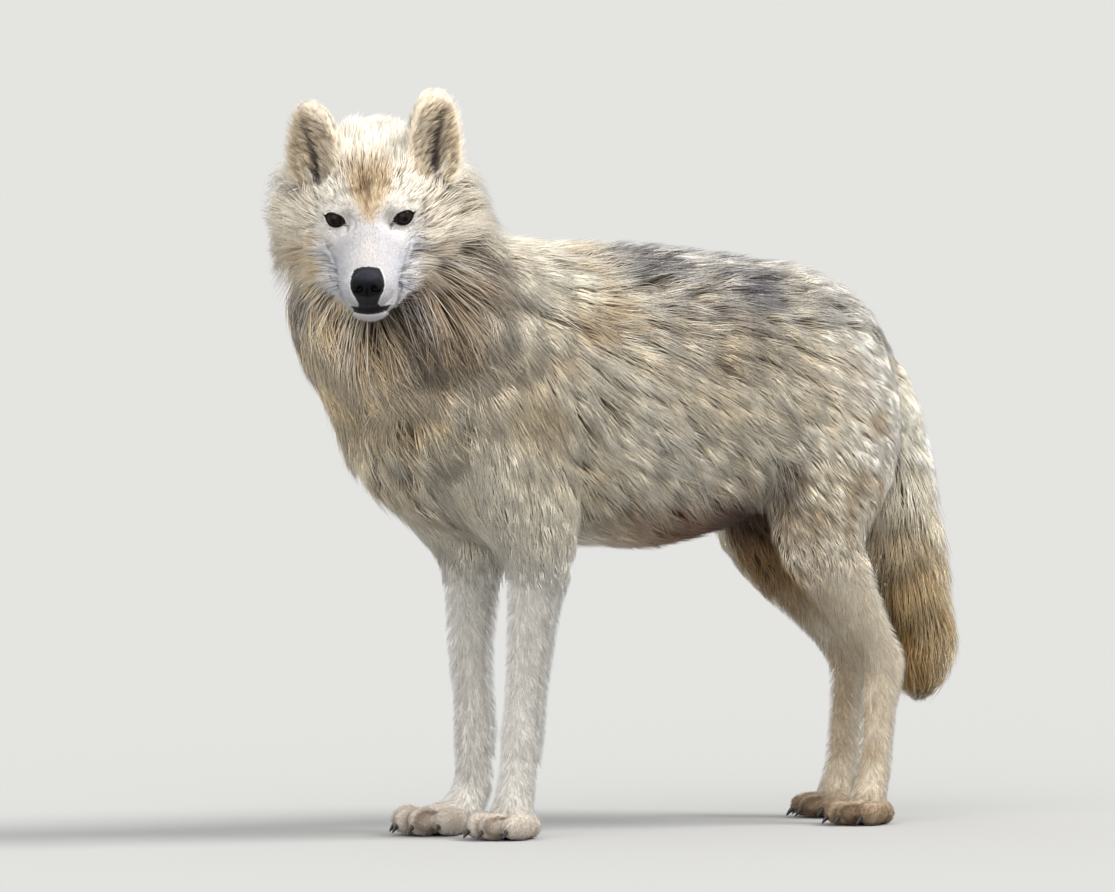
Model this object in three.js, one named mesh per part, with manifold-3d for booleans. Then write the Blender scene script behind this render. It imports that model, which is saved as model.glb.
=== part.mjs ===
// A standing arctic wolf (Canis lupus arctos), life size, head turned to its own left.
// Millimetres. +Z up, the wolf looks along -Y, its left side is +X. The solids are the outer
// form of the animal, out to the tips of the coat, and are parted where its parts are named.
import * as THREE from "three";
import { mergeVertices } from "three/addons/utils/BufferGeometryUtils.js";
import Module from "manifold-3d";

const wasm = await Module();
wasm.setup();

// ---------------------------------------------------------------- driving sizes
const SHOULDER_HEIGHT = 738; // withers above the ground, over the coat
const FORE_Y = -283; // wrist line of the forelegs
const HIND_Y = 250; // hind cannon line, left leg
const FORE_X = 61; // wrists either side of the midline
const HIND_X = 74; // hind cannons either side of the midline
const RIGHT_FORE_STEP = -28; // the right forepaw stands this far ahead
const RIGHT_HIND_STEP = 58; // the right hind paw stands this far behind
const EYES_MID = [91.5, -529, 773]; // point midway between the eyes
const HEAD_YAW = 53, HEAD_PITCH = 21.5, HEAD_ROLL = 2; // degrees: turned left, nose down, tilted
const EYE_RADIUS = 12;
const EYE_SPACING = 86; // between the pupils
const NOSE_WIDTH = 42, NOSE_HEIGHT = 35, NOSE_DEPTH = 30;
const EAR_LEAN = 22; // degrees that the ear openings look outwards
const CLAW_LENGTH = 17, CLAW_RADIUS = 4.2;
const GRID = 7; // sampling step of the body surface
const BODY_TRIANGLES = 3800; // after thinning
const PART_GAP = 0.3; // thin cut between neighbouring parts

const rad = (d) => (d * Math.PI) / 180;
const add = (a, b, k = 1) => [a[0] + k * b[0], a[1] + k * b[1], a[2] + k * b[2]];
const sub = (a, b) => add(a, b, -1);
const mul = (a, k) => [a[0] * k, a[1] * k, a[2] * k];
const dot = (a, b) => a[0] * b[0] + a[1] * b[1] + a[2] * b[2];
const cross = (a, b) => [a[1] * b[2] - a[2] * b[1], a[2] * b[0] - a[0] * b[2], a[0] * b[1] - a[1] * b[0]];
const unit = (a) => mul(a, 1 / Math.hypot(...a));

// ---------------------------------------------------------------- the head's own frame
const [HF, HL, HU] = (() => {
  const y = rad(HEAD_YAW), p = rad(HEAD_PITCH), r = rad(HEAD_ROLL);
  const f = [Math.sin(y) * Math.cos(p), -Math.cos(y) * Math.cos(p), -Math.sin(p)];
  const l = [Math.cos(y), Math.sin(y), 0];
  let u = cross(f, l);
  if (u[2] < 0) u = mul(u, -1);
  return [f, add(mul(l, Math.cos(r)), u, Math.sin(r)), add(mul(l, -Math.sin(r)), u, Math.cos(r))];
})();
// A point of the head: forwards, to its left and upwards of the point between the eyes.
const head = (f, l, u) => add(add(add(EYES_MID, HF, f), HL, l), HU, u);
const headRows = (rows) => rows.map(([n, f, l, u, ...r]) => [n, ...head(f, l, u), ...r]);

// ---------------------------------------------------------------- shapes as distance fields
// A limb or trunk swept through named stations [name, x, y, z, half width, half height, coat depth].
function loft(rows, { side = [1, 0, 0], steps = 3, blend = 30 } = {}) {
  const st = rows.map((r) => r.slice(1));
  const S = [];
  for (let i = 0; i < st.length - 1; i++) {
    const p1 = st[i], p2 = st[i + 1];
    const p0 = i ? st[i - 1] : p1.map((v, k) => 2 * v - p2[k]);
    const p3 = i < st.length - 2 ? st[i + 2] : p2.map((v, k) => 2 * v - p1[k]);
    for (let s = 0; s < steps; s++) {
      const t = s / steps;
      S.push(p1.map((v, k) => 0.5 * (2 * v + (p2[k] - p0[k]) * t + (2 * p0[k] - 5 * v + 4 * p2[k] - p3[k]) * t * t + (3 * v - p0[k] - 3 * p2[k] + p3[k]) * t * t * t)));
    }
  }
  S.push(st[st.length - 1]);
  const u = unit(side), segs = [];
  const lo = [1e9, 1e9, 1e9], hi = [-1e9, -1e9, -1e9];
  for (const q of S)
    for (let k = 0; k < 3; k++) {
      const r = Math.max(q[3], q[4]) + q[5];
      lo[k] = Math.min(lo[k], q[k] - r);
      hi[k] = Math.max(hi[k], q[k] + r);
    }
  for (let i = 0; i < S.length - 1; i++) {
    const A = S[i], B = S[i + 1], d = sub(B, A), L = Math.hypot(d[0], d[1], d[2]);
    const dh = mul(d, 1 / L), sd = unit(add(u, dh, -dot(u, dh)));
    segs.push({ A, L, dh, sd, nn: cross(dh, sd), a: A[3] + A[5], b: A[4] + A[5], da: B[3] + B[5] - A[3] - A[5], db: B[4] + B[5] - A[4] - A[5] });
  }
  const field = (x, y, z) => {
    let best = 1e3;
    for (const g of segs) {
      const qx = x - g.A[0], qy = y - g.A[1], qz = z - g.A[2];
      const tl = qx * g.dh[0] + qy * g.dh[1] + qz * g.dh[2];
      const t = Math.min(1, Math.max(0, tl / g.L));
      const a = g.a + g.da * t, b = g.b + g.db * t, m = Math.min(a, b);
      const px = (qx * g.sd[0] + qy * g.sd[1] + qz * g.sd[2]) / a;
      const py = (qx * g.nn[0] + qy * g.nn[1] + qz * g.nn[2]) / b;
      const pz = (tl - t * g.L) / m;
      const k0 = Math.sqrt(px * px + py * py + pz * pz) + 1e-9;
      const k1 = Math.sqrt((px / a) ** 2 + (py / b) ** 2 + (pz / m) ** 2) + 1e-9;
      const f = k0 < 0.3 ? (k0 - 1) * m : (k0 * (k0 - 1)) / k1;
      if (f < best) best = f;
    }
    return best;
  };
  return { field, lo, hi, blend, cut: false };
}
// An ellipsoid with its own axes.
function ellipsoid(c, r, { axes = [[1, 0, 0], [0, 1, 0], [0, 0, 1]], blend = 10, cut = false } = {}) {
  const R = Math.max(...r), m = Math.min(...r);
  const field = (x, y, z) => {
    const q = [x - c[0], y - c[1], z - c[2]];
    let s0 = 0, s1 = 0;
    for (let k = 0; k < 3; k++) {
      const v = dot(q, axes[k]) / r[k];
      s0 += v * v;
      s1 += (v / r[k]) ** 2;
    }
    const k0 = Math.sqrt(s0) + 1e-9, k1 = Math.sqrt(s1) + 1e-9;
    return k0 < 0.3 ? (k0 - 1) * m : (k0 * (k0 - 1)) / k1;
  };
  return { field, lo: c.map((v) => v - R), hi: c.map((v) => v + R), blend, cut };
}

// ---------------------------------------------------------------- the animal
const shapes = [];
shapes.push(loft([
  ["breast", 0, -392, 482, 48, 56, 40],
  ["fore_chest", 0, -350, 515, 76, 102, 42],
  ["shoulders", 0, -292, 542, 92, 139, 40],
  ["withers", 0, -220, SHOULDER_HEIGHT - 191, 98, 154, 36],
  ["girth", 0, -130, 547, 101, 158, 34],
  ["ribs", 0, -40, 542, 104, 159, 33],
  ["loin", 0, 50, 552, 100, 143, 31],
  ["flank", 0, 120, 575, 88, 114, 29],
  ["croup", 0, 175, 588, 78, 90, 26],
  ["rump", 0, 214, 578, 68, 75, 22],
  ["tail_set", 0, 234, 562, 50, 54, 22],
], { steps: 4, blend: 40 }));
shapes.push(loft([
  ["neck_base", 0, -262, 560, 84, 128, 36],
  ["lower_neck", 2, -345, 596, 84, 118, 44],
  ["mid_neck", 6, -416, 655, 82, 98, 54],
  ["ruff", 8, -446, 722, 74, 82, 58],
  ["nape", 0, -450, 770, 64, 58, 50],
  ["poll", ...head(-136, 0, -6), 56, 36, 38],
], { steps: 4, blend: 44 }));
shapes.push(loft(headRows([
  ["occiput", -118, 0, 4, 48, 44, 38],
  ["crown", -95, 0, 10, 59, 50, 34],
  ["temples", -70, 0, 5, 64, 47, 24],
  ["brow", -45, 0, -2, 64, 43, 15],
  ["orbits", -20, 0, -10, 54, 38, 10],
  ["stop", 0, 0, -18, 44, 31, 7],
  ["bridge", 20, 0, -26, 37, 26, 5],
]), { side: HL, steps: 2, blend: 16 }));
shapes.push(loft(headRows([
  ["muzzle_root", 10, 0, -32, 40, 31, 6],
  ["mid_muzzle", 45, 0, -38, 37, 27, 5],
  ["whisker_bed", 72, 0, -43, 36, 27, 4],
  ["upper_lip", 90, 0, -48, 33, 26, 3],
  ["muzzle_tip", 98, 0, -50, 26, 23, 3],
]), { side: HL, steps: 2, blend: 12 }));
shapes.push(loft(headRows([
  ["jaw_angle", -60, 0, -58, 48, 30, 26],
  ["jaw_mid", -20, 0, -66, 44, 24, 18],
  ["jaw_front", 28, 0, -77, 34, 18, 9],
  ["lower_lip", 64, 0, -83, 27, 14, 6],
  ["chin", 84, 0, -85, 21, 11, 5],
]), { side: HL, steps: 2, blend: 10 }));
for (const s of [1, -1])
  shapes.push(loft(headRows([
    ["cheek_front", -20, s * 44, -24, 20, 24, 8],
    ["cheek", -52, s * 52, -24, 24, 34, 24],
    ["cheek_ruff", -82, s * 58, -24, 26, 38, 42],
    ["ruff_edge", -112, s * 60, -20, 26, 38, 46],
  ]), { side: HL, steps: 2, blend: 20 }));

// The hollow that each eye lies in.
for (const s of [1, -1]) shapes.push(ellipsoid(head(15, s * 40, 0), [24, 14, 14], { axes: [HL, HF, HU], blend: 9, cut: true }));

// A paw: four toes round a pad, turned by an angle about its own centre.
const claws = []; // [paw name, root, direction]
function paw(name, x, y, size, turn) {
  const c = Math.cos(rad(turn)), n = Math.sin(rad(turn));
  const at = (px, py, pz) => [x + (px * c + py * n) * size, y + (-px * n + py * c) * size, pz * size];
  for (const [tx, ty] of [[-31, -13], [-11, -34], [11, -34], [31, -13]]) {
    shapes.push(ellipsoid(at(tx, ty, 17), [12 * size + 2, 25 * size + 2, 16 * size + 2], { axes: [[c, -n, 0], [n, c, 0], [0, 0, 1]], blend: 3 }));
    claws.push([name, at(tx * 1.02, ty - 21, 12.5), unit([-n * 0.86 + (tx / 28) * 0.12, -c * 0.86, -0.42])]);
  }
  shapes.push(ellipsoid(at(0, 12, 15), [29 * size + 2, 30 * size + 2, 20 * size + 2], { blend: 6 }));
}
function foreleg(name, s, wrist, pastern, root, toes, size, turn) {
  shapes.push(loft([
    ["shoulder_blade", s * 62, -300, 600, 34, 62, 26],
    ["shoulder_point", s * 72, -345, 510, 42, 58, 28],
    ["upper_arm", s * 74, -290, 430, 36, 56, 24],
    ["elbow", s * 72, -262, 370, 29, 40, 16],
    ["forearm_top", s * 68, -266, 310, 22, 29, 10],
    ["forearm", s * 65, -272, 240, 19, 22, 9],
    ["forearm_low", s * 62, -277 + wrist * 0.6, 170, 17, 19, 8],
    ["wrist", s * FORE_X, FORE_Y + 2 + wrist, 125, 20, 21, 7],
    ["cannon", s * FORE_X, FORE_Y + wrist, 100, 18, 18, 7],
    ["pastern", s * 62, pastern, 60, 19, 20, 7],
    ["paw_root", s * 63, root, 30, 25, 22, 5],
  ], { steps: 2, blend: 26 }));
  paw(name, s * 64, toes, size, turn);
}
foreleg("forepaw_left", 1, 0, -289, -296, -301, 1.04, -10);
foreleg("forepaw_right", -1, 14, -266, -284, -293 + RIGHT_FORE_STEP, 1.12, -16);
function hindleg(name, s, step, stifle) {
  shapes.push(loft([
    ["hip", s * 46, 190, 582, 40, 58, 16],
    ["haunch", s * 64, 194 + step * 0.2, 525, 48, 80, 17],
    ["thigh", s * 80, 178 + step * 0.5 - stifle * 0.4, 455, 44, 78, 16],
    ["thigh_low", s * 86, 156 + step * 0.8 - stifle, 395, 36, 60, 15],
    ["stifle", s * 86, 158 + step - stifle, 352, 30, 46, 13],
    ["gaskin", s * 82, 196 + step - stifle * 0.6, 300, 25, 38, 11],
    ["gaskin_low", s * 78, 236 + step, 245, 20, 28, 9],
    ["hock", s * 75, 260 + step, 205, 17, 24, 8],
    ["hock_low", s * HIND_X, HIND_Y + 10 + step, 175, 16, 21, 7],
    ["hind_cannon", s * HIND_X, HIND_Y + 5 + step, 120, 15, 18, 7],
    ["hind_pastern", s * HIND_X, HIND_Y + step, 70, 16, 18, 7],
    ["hind_paw_root", s * HIND_X, HIND_Y - 10 + step, 32, 22, 20, 4],
  ], { steps: 2, blend: 30 }));
  shapes.push(loft([
    ["hock_tendon", s * 75, 266 + step, 216, 12, 12, 6],
    ["hock_point", s * 75, 280 + step, 204, 11, 12, 5],
    ["hock_base", s * 75, 268 + step, 170, 12, 12, 5],
  ], { steps: 2, blend: 14 }));
  paw(name, s * HIND_X, HIND_Y - 14 + step, 0.95, -6 * s);
}
hindleg("hindpaw_left", 1, 0, 0);
hindleg("hindpaw_right", -1, RIGHT_HIND_STEP, 14);
shapes.push(loft([
  ["tail_root", 0, 248, 596, 20, 24, 16],
  ["tail_top", 4, 296, 562, 16, 18, 20],
  ["tail_upper", 8, 320, 510, 14, 14, 27],
  ["tail_mid", 9, 331, 440, 12, 12, 37],
  ["tail_brush", 10, 341, 350, 10, 10, 44],
  ["tail_full", 10, 351, 295, 10, 10, 45],
  ["tail_low", 10, 359, 245, 9, 9, 45],
  ["tail_end", 10, 366, 205, 8, 8, 39],
  ["tail_tip", 10, 366, 172, 4, 4, 20],
], { steps: 3, blend: 24 }));
for (const s of [1, -1]) {
  const c = Math.cos(rad(EAR_LEAN)), n = Math.sin(rad(EAR_LEAN));
  const across = add(mul(HL, c), HF, -s * n), facing = add(mul(HF, c), HL, s * n);
  const h = s > 0 ? 1.02 : 0.94;
  const [l0, l1, l2, l3, l4] = s > 0 ? [70, 76, 80, 82, 83] : [-62, -64, -66, -69, -71];
  shapes.push(loft(headRows([
    ["ear_root", -66, l0, 30, 38, 20, 7],
    ["ear_base", -70, l1, 60, 37, 17, 6],
    ["ear_mid", -75, l2, 88 * h, 31, 14, 5],
    ["ear_upper", -79, l3, 112 * h, 25, 9, 5],
    ["ear_tip", -82, l4, 129 * h, 14, 5, 4],
  ]), { side: across, steps: 3, blend: 12 }));
  const up = unit(sub(head(-82, l4, 140), head(-68, l1, 50)));
  shapes.push(ellipsoid(add(head(-72, l2 - s * 1.5, 79 * h), facing, 20), [27, 19, 55 * h], { axes: [cross(up, facing), facing, up], blend: 6, cut: true }));
}

// ---------------------------------------------------------------- meshing a field
const smin = (a, b, k) => {
  const h = Math.max(k - Math.abs(a - b), 0) / k;
  return Math.min(a, b) - h * h * k * 0.25;
};
function sample(list, lo, hi, step) {
  const n = lo.map((v, k) => Math.ceil((hi[k] - v) / step) + 1);
  const F = new Float32Array(n[0] * n[1] * n[2]).fill(200);
  for (const p of list) {
    const pad = 26 + p.blend;
    const a = p.lo.map((v, k) => Math.max(0, Math.floor((v - pad - lo[k]) / step)));
    const b = p.hi.map((v, k) => Math.min(n[k] - 1, Math.ceil((v + pad - lo[k]) / step)));
    for (let i = a[0]; i <= b[0]; i++)
      for (let j = a[1]; j <= b[1]; j++)
        for (let k = a[2]; k <= b[2]; k++) {
          const at = (i * n[1] + j) * n[2] + k;
          const f = p.field(lo[0] + i * step, lo[1] + j * step, lo[2] + k * step);
          F[at] = p.cut ? -smin(-F[at], f, p.blend) : smin(F[at], f, p.blend);
        }
  }
  return { F, n, lo, step };
}
// One vertex in each cell that the surface crosses, and a face round each edge that it crosses.
function skin({ F, n, lo, step }) {
  const id = new Int32Array(F.length).fill(-1), V = [], T = [];
  const at = (i, j, k) => (i * n[1] + j) * n[2] + k;
  const edges = [];
  for (let a = 0; a < 8; a++) for (let d = 0; d < 3; d++) if (!(a & (1 << d))) edges.push([a, a | (1 << d)]);
  for (let i = 0; i < n[0] - 1; i++)
    for (let j = 0; j < n[1] - 1; j++)
      for (let k = 0; k < n[2] - 1; k++) {
        const f = [];
        for (let c = 0; c < 8; c++) f.push(F[at(i + (c & 1), j + ((c >> 1) & 1), k + ((c >> 2) & 1))]);
        const inside = f.filter((v) => v < 0).length;
        if (!inside || inside === 8) continue;
        const p = [0, 0, 0];
        let m = 0;
        for (const [a, b] of edges)
          if (f[a] < 0 !== f[b] < 0) {
            const t = f[a] / (f[a] - f[b]);
            for (let d = 0; d < 3; d++) p[d] += ((a >> d) & 1) * (1 - t) + ((b >> d) & 1) * t;
            m++;
          }
        id[at(i, j, k)] = V.length;
        V.push([lo[0] + (i + p[0] / m) * step, lo[1] + (j + p[1] / m) * step, lo[2] + (k + p[2] / m) * step]);
      }
  for (let i = 1; i < n[0] - 1; i++)
    for (let j = 1; j < n[1] - 1; j++)
      for (let k = 1; k < n[2] - 1; k++)
        for (let d = 0; d < 3; d++) {
          const g = [i, j, k];
          g[d]++;
          const a = F[at(i, j, k)] < 0, b = F[at(...g)] < 0;
          if (a === b) continue;
          const u = (d + 1) % 3, v = (d + 2) % 3;
          const q = [[-1, -1], [0, -1], [0, 0], [-1, 0]].map(([x, y]) => {
            const c = [i, j, k];
            c[u] += x;
            c[v] += y;
            return id[at(...c)];
          });
          if (!a) q.reverse();
          T.push([q[0], q[1], q[2]], [q[0], q[2], q[3]]);
        }
  return { V, T };
}
// Thins a closed mesh by folding its flattest edges, keeping it closed.
function thin({ V, T }, target, weight) {
  const Q = V.map(() => new Float64Array(10)), P = V.map((v) => v.slice());
  const faces = T.map((t) => t.slice()), live = new Uint8Array(T.length).fill(1);
  const of = V.map(() => new Set());
  const normal = (a, b, c) => cross(sub(b, a), sub(c, a));
  faces.forEach((t, i) => {
    const N = normal(P[t[0]], P[t[1]], P[t[2]]), area = Math.hypot(...N);
    if (area > 1e-9) {
      const m = mul(N, 1 / area), e = -dot(m, P[t[0]]), w = area * weight(P[t[0]]);
      const q = [m[0] * m[0], m[0] * m[1], m[0] * m[2], m[0] * e, m[1] * m[1], m[1] * m[2], m[1] * e, m[2] * m[2], m[2] * e, e * e];
      for (const v of t) for (let k = 0; k < 10; k++) Q[v][k] += q[k] * w;
    }
    for (const v of t) of[v].add(i);
  });
  const err = (q, x, y, z) => q[0] * x * x + 2 * q[1] * x * y + 2 * q[2] * x * z + 2 * q[3] * x + q[4] * y * y + 2 * q[5] * y * z + 2 * q[6] * y + q[7] * z * z + 2 * q[8] * z + q[9];
  const stamp = new Int32Array(V.length), heap = [];
  const up = (i) => { while (i && heap[(i - 1) >> 1].c > heap[i].c) { const p = (i - 1) >> 1; [heap[p], heap[i]] = [heap[i], heap[p]]; i = p; } };
  const push = (h) => { heap.push(h); up(heap.length - 1); };
  const pop = () => {
    const top = heap[0], last = heap.pop();
    if (heap.length) {
      heap[0] = last;
      for (let i = 0; ;) {
        const l = 2 * i + 1, r = l + 1;
        let m = i;
        if (l < heap.length && heap[l].c < heap[m].c) m = l;
        if (r < heap.length && heap[r].c < heap[m].c) m = r;
        if (m === i) break;
        [heap[m], heap[i]] = [heap[i], heap[m]];
        i = m;
      }
    }
    return top;
  };
  const ring = (v) => { const s = new Set(); for (const f of of[v]) for (const w of faces[f]) if (w !== v) s.add(w); return s; };
  const offer = (a, b) => {
    const q = Q[a].map((v, k) => v + Q[b][k]);
    const det = q[0] * (q[4] * q[7] - q[5] * q[5]) - q[1] * (q[1] * q[7] - q[5] * q[2]) + q[2] * (q[1] * q[5] - q[4] * q[2]);
    const mid = mul(add(P[a], P[b]), 0.5), len = Math.hypot(...sub(P[a], P[b]));
    const tries = [mid, P[a], P[b]];
    if (Math.abs(det) > 1e-6 * (q[0] + q[4] + q[7]) ** 3) {
      const r = [-q[3], -q[6], -q[8]];
      const o = [
        (r[0] * (q[4] * q[7] - q[5] * q[5]) - q[1] * (r[1] * q[7] - q[5] * r[2]) + q[2] * (r[1] * q[5] - q[4] * r[2])) / det,
        (q[0] * (r[1] * q[7] - q[5] * r[2]) - r[0] * (q[1] * q[7] - q[5] * q[2]) + q[2] * (q[1] * r[2] - r[1] * q[2])) / det,
        (q[0] * (q[4] * r[2] - r[1] * q[5]) - q[1] * (q[1] * r[2] - r[1] * q[2]) + r[0] * (q[1] * q[5] - q[4] * q[2])) / det,
      ];
      if (Math.hypot(...sub(o, mid)) < len) tries.unshift(o);
    }
    let best = null;
    for (const p of tries) {
      const c = Math.max(0, err(q, ...p)) + 1e-4 * len * len;
      if (!best || c < best.c) best = { c, p };
    }
    push({ c: best.c, p: best.p, a, b, sa: stamp[a], sb: stamp[b] });
  };
  for (let v = 0; v < V.length; v++) for (const w of ring(v)) if (w > v) offer(v, w);
  let count = faces.length;
  while (count > target && heap.length) {
    const h = pop();
    if (stamp[h.a] !== h.sa || stamp[h.b] !== h.sb) continue;
    const ra = ring(h.a), rb = ring(h.b);
    let common = 0;
    for (const w of ra) if (rb.has(w)) common++;
    if (common !== 2 || !ra.has(h.b)) continue;
    let ok = true;
    for (const v of [h.a, h.b])
      for (const f of of[v]) {
        const t = faces[f];
        if (t.includes(h.a) && t.includes(h.b)) continue;
        const before = normal(...t.map((w) => P[w])), after = normal(...t.map((w) => (w === v ? h.p : P[w])));
        const lb = Math.hypot(...before), la = Math.hypot(...after);
        if (la < 1e-6 || dot(before, after) < 0.35 * lb * la) ok = false;
      }
    if (!ok) continue;
    P[h.a] = h.p;
    for (let k = 0; k < 10; k++) Q[h.a][k] += Q[h.b][k];
    for (const f of [...of[h.b]]) {
      const t = faces[f];
      if (t.includes(h.a)) {
        for (const w of t) of[w].delete(f);
        live[f] = 0;
        count--;
      } else {
        t[t.indexOf(h.b)] = h.a;
        of[h.a].add(f);
      }
    }
    of[h.b].clear();
    stamp[h.a]++;
    stamp[h.b]++;
    for (const w of ring(h.a)) offer(h.a, w);
  }
  const used = new Map(), out = { V: [], T: [] };
  faces.forEach((t, i) => {
    if (!live[i]) return;
    out.T.push(t.map((v) => { if (!used.has(v)) { used.set(v, out.V.length); out.V.push(P[v]); } return used.get(v); }));
  });
  return out;
}
// Closes up edges too short to matter that the cuts leave, so every corner stands clear of the next.
function tidy({ V, T }, limit = 0.12) {
  const P = V.map((v) => v.slice());
  let faces = T.map((t) => t.slice());
  for (let again = true; again;) {
    again = false;
    const of = P.map(() => []);
    faces.forEach((t, i) => t.forEach((v) => of[v].push(i)));
    const locked = new Set(), gone = new Set();
    const ring = (v) => new Set(of[v].flatMap((f) => faces[f]).filter((w) => w !== v));
    for (const t of faces)
      for (let k = 0; k < 3; k++) {
        const a = t[k], b = t[(k + 1) % 3];
        if (locked.has(a) || locked.has(b) || Math.hypot(...sub(P[a], P[b])) > limit) continue;
        const ra = ring(a), rb = ring(b);
        if ([...ra].filter((w) => rb.has(w)).length !== 2) continue;
        for (const w of [...ra, ...rb]) locked.add(w);
        for (const f of of[b]) {
          if (faces[f].includes(a)) gone.add(f);
          else faces[f] = faces[f].map((w) => (w === b ? a : w));
        }
        again = true;
      }
    faces = faces.filter((_, i) => !gone.has(i));
  }
  // Two folds that meet in the same point are drawn apart, each along its own side.
  const ring = P.map(() => new Set()), seen = new Map();
  for (const t of faces) for (const v of t) for (const w of t) if (w !== v) ring[v].add(w);
  P.forEach((p, v) => {
    const key = p.map((c) => Math.round(c * 200)).join();
    if (ring[v].size) seen.set(key, [...(seen.get(key) || []), v]);
  });
  for (const same of seen.values())
    if (same.length > 1)
      for (const v of same) {
        const m = mul([...ring[v]].reduce((a, w) => add(a, P[w]), [0, 0, 0]), 1 / ring[v].size);
        P[v] = add(P[v], unit(sub(m, P[v])), 0.08);
      }
  const used = new Map(), out = { V: [], T: [] };
  for (const t of faces) out.T.push(t.map((v) => { if (!used.has(v)) { used.set(v, out.V.length); out.V.push(P[v]); } return used.get(v); }));
  return out;
}
const toSolid = ({ V, T }) => new wasm.Manifold(new wasm.Mesh({ numProp: 3, vertProperties: new Float32Array(V.flat()), triVerts: new Uint32Array(T.flat()) }));
function solidOf(geometry) {
  const g = (geometry.index ? geometry.toNonIndexed() : geometry).clone();
  g.deleteAttribute("normal");
  g.deleteAttribute("uv");
  const m = mergeVertices(g, 1e-4);
  return new wasm.Manifold(new wasm.Mesh({ numProp: 3, vertProperties: new Float32Array(m.attributes.position.array), triVerts: new Uint32Array(m.index.array) }));
}
// A box with its own axes, from low to high corner along them, measured from a point.
function block(origin, axes, low, high, grow = 0) {
  const size = low.map((v, k) => high[k] - v + 2 * grow), mid = low.map((v, k) => (high[k] + v) / 2);
  const at = add(add(add(origin, axes[0], mid[0]), axes[1], mid[1]), axes[2], mid[2]);
  const g = new THREE.BoxGeometry(...size).toNonIndexed();
  const m = new THREE.Matrix4().makeBasis(...axes.map((a) => new THREE.Vector3(...a))).setPosition(...at);
  return solidOf(g.applyMatrix4(m));
}

// Evens out the ripples that the blends leave; shape(p) is 0 where the form is kept as it is.
function relax({ V, T }, rounds, shape) {
  const near = V.map(() => new Set());
  for (const t of T) for (let k = 0; k < 3; k++) { near[t[k]].add(t[(k + 1) % 3]); near[t[(k + 1) % 3]].add(t[k]); }
  const list = near.map((s) => [...s]);
  for (let r = 0; r < rounds; r++) {
    const next = V.map((v, i) => {
      const w = shape(v);
      if (!w) return v;
      let m = [0, 0, 0];
      for (const j of list[i]) m = add(m, V[j]);
      return add(mul(v, 1 - w), m, w / list[i].length);
    });
    V = next;
  }
  return { V, T };
}

// ---------------------------------------------------------------- body surface, thinned
const inHead = (p) => { const q = sub(p, EYES_MID); return [dot(q, HF), dot(q, HL), dot(q, HU)]; };
const detail = (p) => {
  const [f, l, u] = inHead(p);
  if (f > -110 && u > -105) return f > -10 || (u > 55 && Math.abs(l) > 30) ? 14 : 4;
  return p[2] < 60 ? 8 : p[2] < 230 ? 3 : 1;
};
const softness = (p) => {
  const [f, l, u] = inHead(p);
  if (u > -105 && (f > -30 || (f > -125 && u > 40 && Math.abs(l) > 30))) return 0;
  return p[2] < 50 ? 0 : p[2] < 330 ? 0.2 : 0.55;
};
const raw = skin(sample(shapes, [-229, -702, -41], [261, 468, 979], GRID));
let body = toSolid(thin(relax(raw, 9, softness), BODY_TRIANGLES, detail));
const WORLD = [[1, 0, 0], [0, 1, 0], [0, 0, 1]];
body = body.subtract(block([0, 0, 0], WORLD, [-600, -900, -200], [600, 900, 0]));

// ---------------------------------------------------------------- eyes, nose and claws
const parts = new Map();
const HEAD = dot(cross(HL, HF), HU) > 0 ? [HL, HF, HU] : [mul(HL, -1), HF, HU]; // right-handed
const LEFT = HEAD[0] === HL ? 1 : -1; // the sign of "left" along the first axis
function ovoid(c, r, axes, sides = 16, rings = 10, turn = [1, 0]) {
  const g = new THREE.SphereGeometry(1, sides, rings);
  const x = add(mul(axes[0], turn[0]), axes[2], turn[1]), z = add(mul(axes[2], turn[0]), axes[0], -turn[1]);
  g.applyMatrix4(new THREE.Matrix4().makeBasis(...[x, axes[1], z].map((a, k) => new THREE.Vector3(...mul(a, r[k])))).setPosition(...c));
  return solidOf(g);
}
for (const s of [1, -1]) {
  const c = head(-8, (s * EYE_SPACING) / 2 - s * 2, 0);
  const ball = (grow) => ovoid(c, [EYE_RADIUS + grow, EYE_RADIUS + grow, EYE_RADIUS + grow], WORLD, 14, 8);
  const lids = ovoid(head(3, s * 42, 0), [15, 14, 10], HEAD, 12, 8, [1, LEFT * s * 0.2].map((v) => v / Math.hypot(1, 0.2)));
  body = body.subtract(ball(PART_GAP)).subtract(lids);
  parts.set(s > 0 ? "eye_left" : "eye_right", ball(0));
}
const noseForm = (grow) => ovoid(head(112, 0, -38), [NOSE_WIDTH / 2 + grow, NOSE_DEPTH / 2 + grow, NOSE_HEIGHT / 2 + grow], HEAD, 14, 10);
let nose = noseForm(0);
for (const s of [1, -1]) nose = nose.subtract(ovoid(head(124, s * 10, -41), [3.4, 8, 5.5], HEAD, 8, 6, [0.94, LEFT * s * 0.34]));
body = body.subtract(noseForm(PART_GAP));
parts.set("nose", nose);

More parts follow.
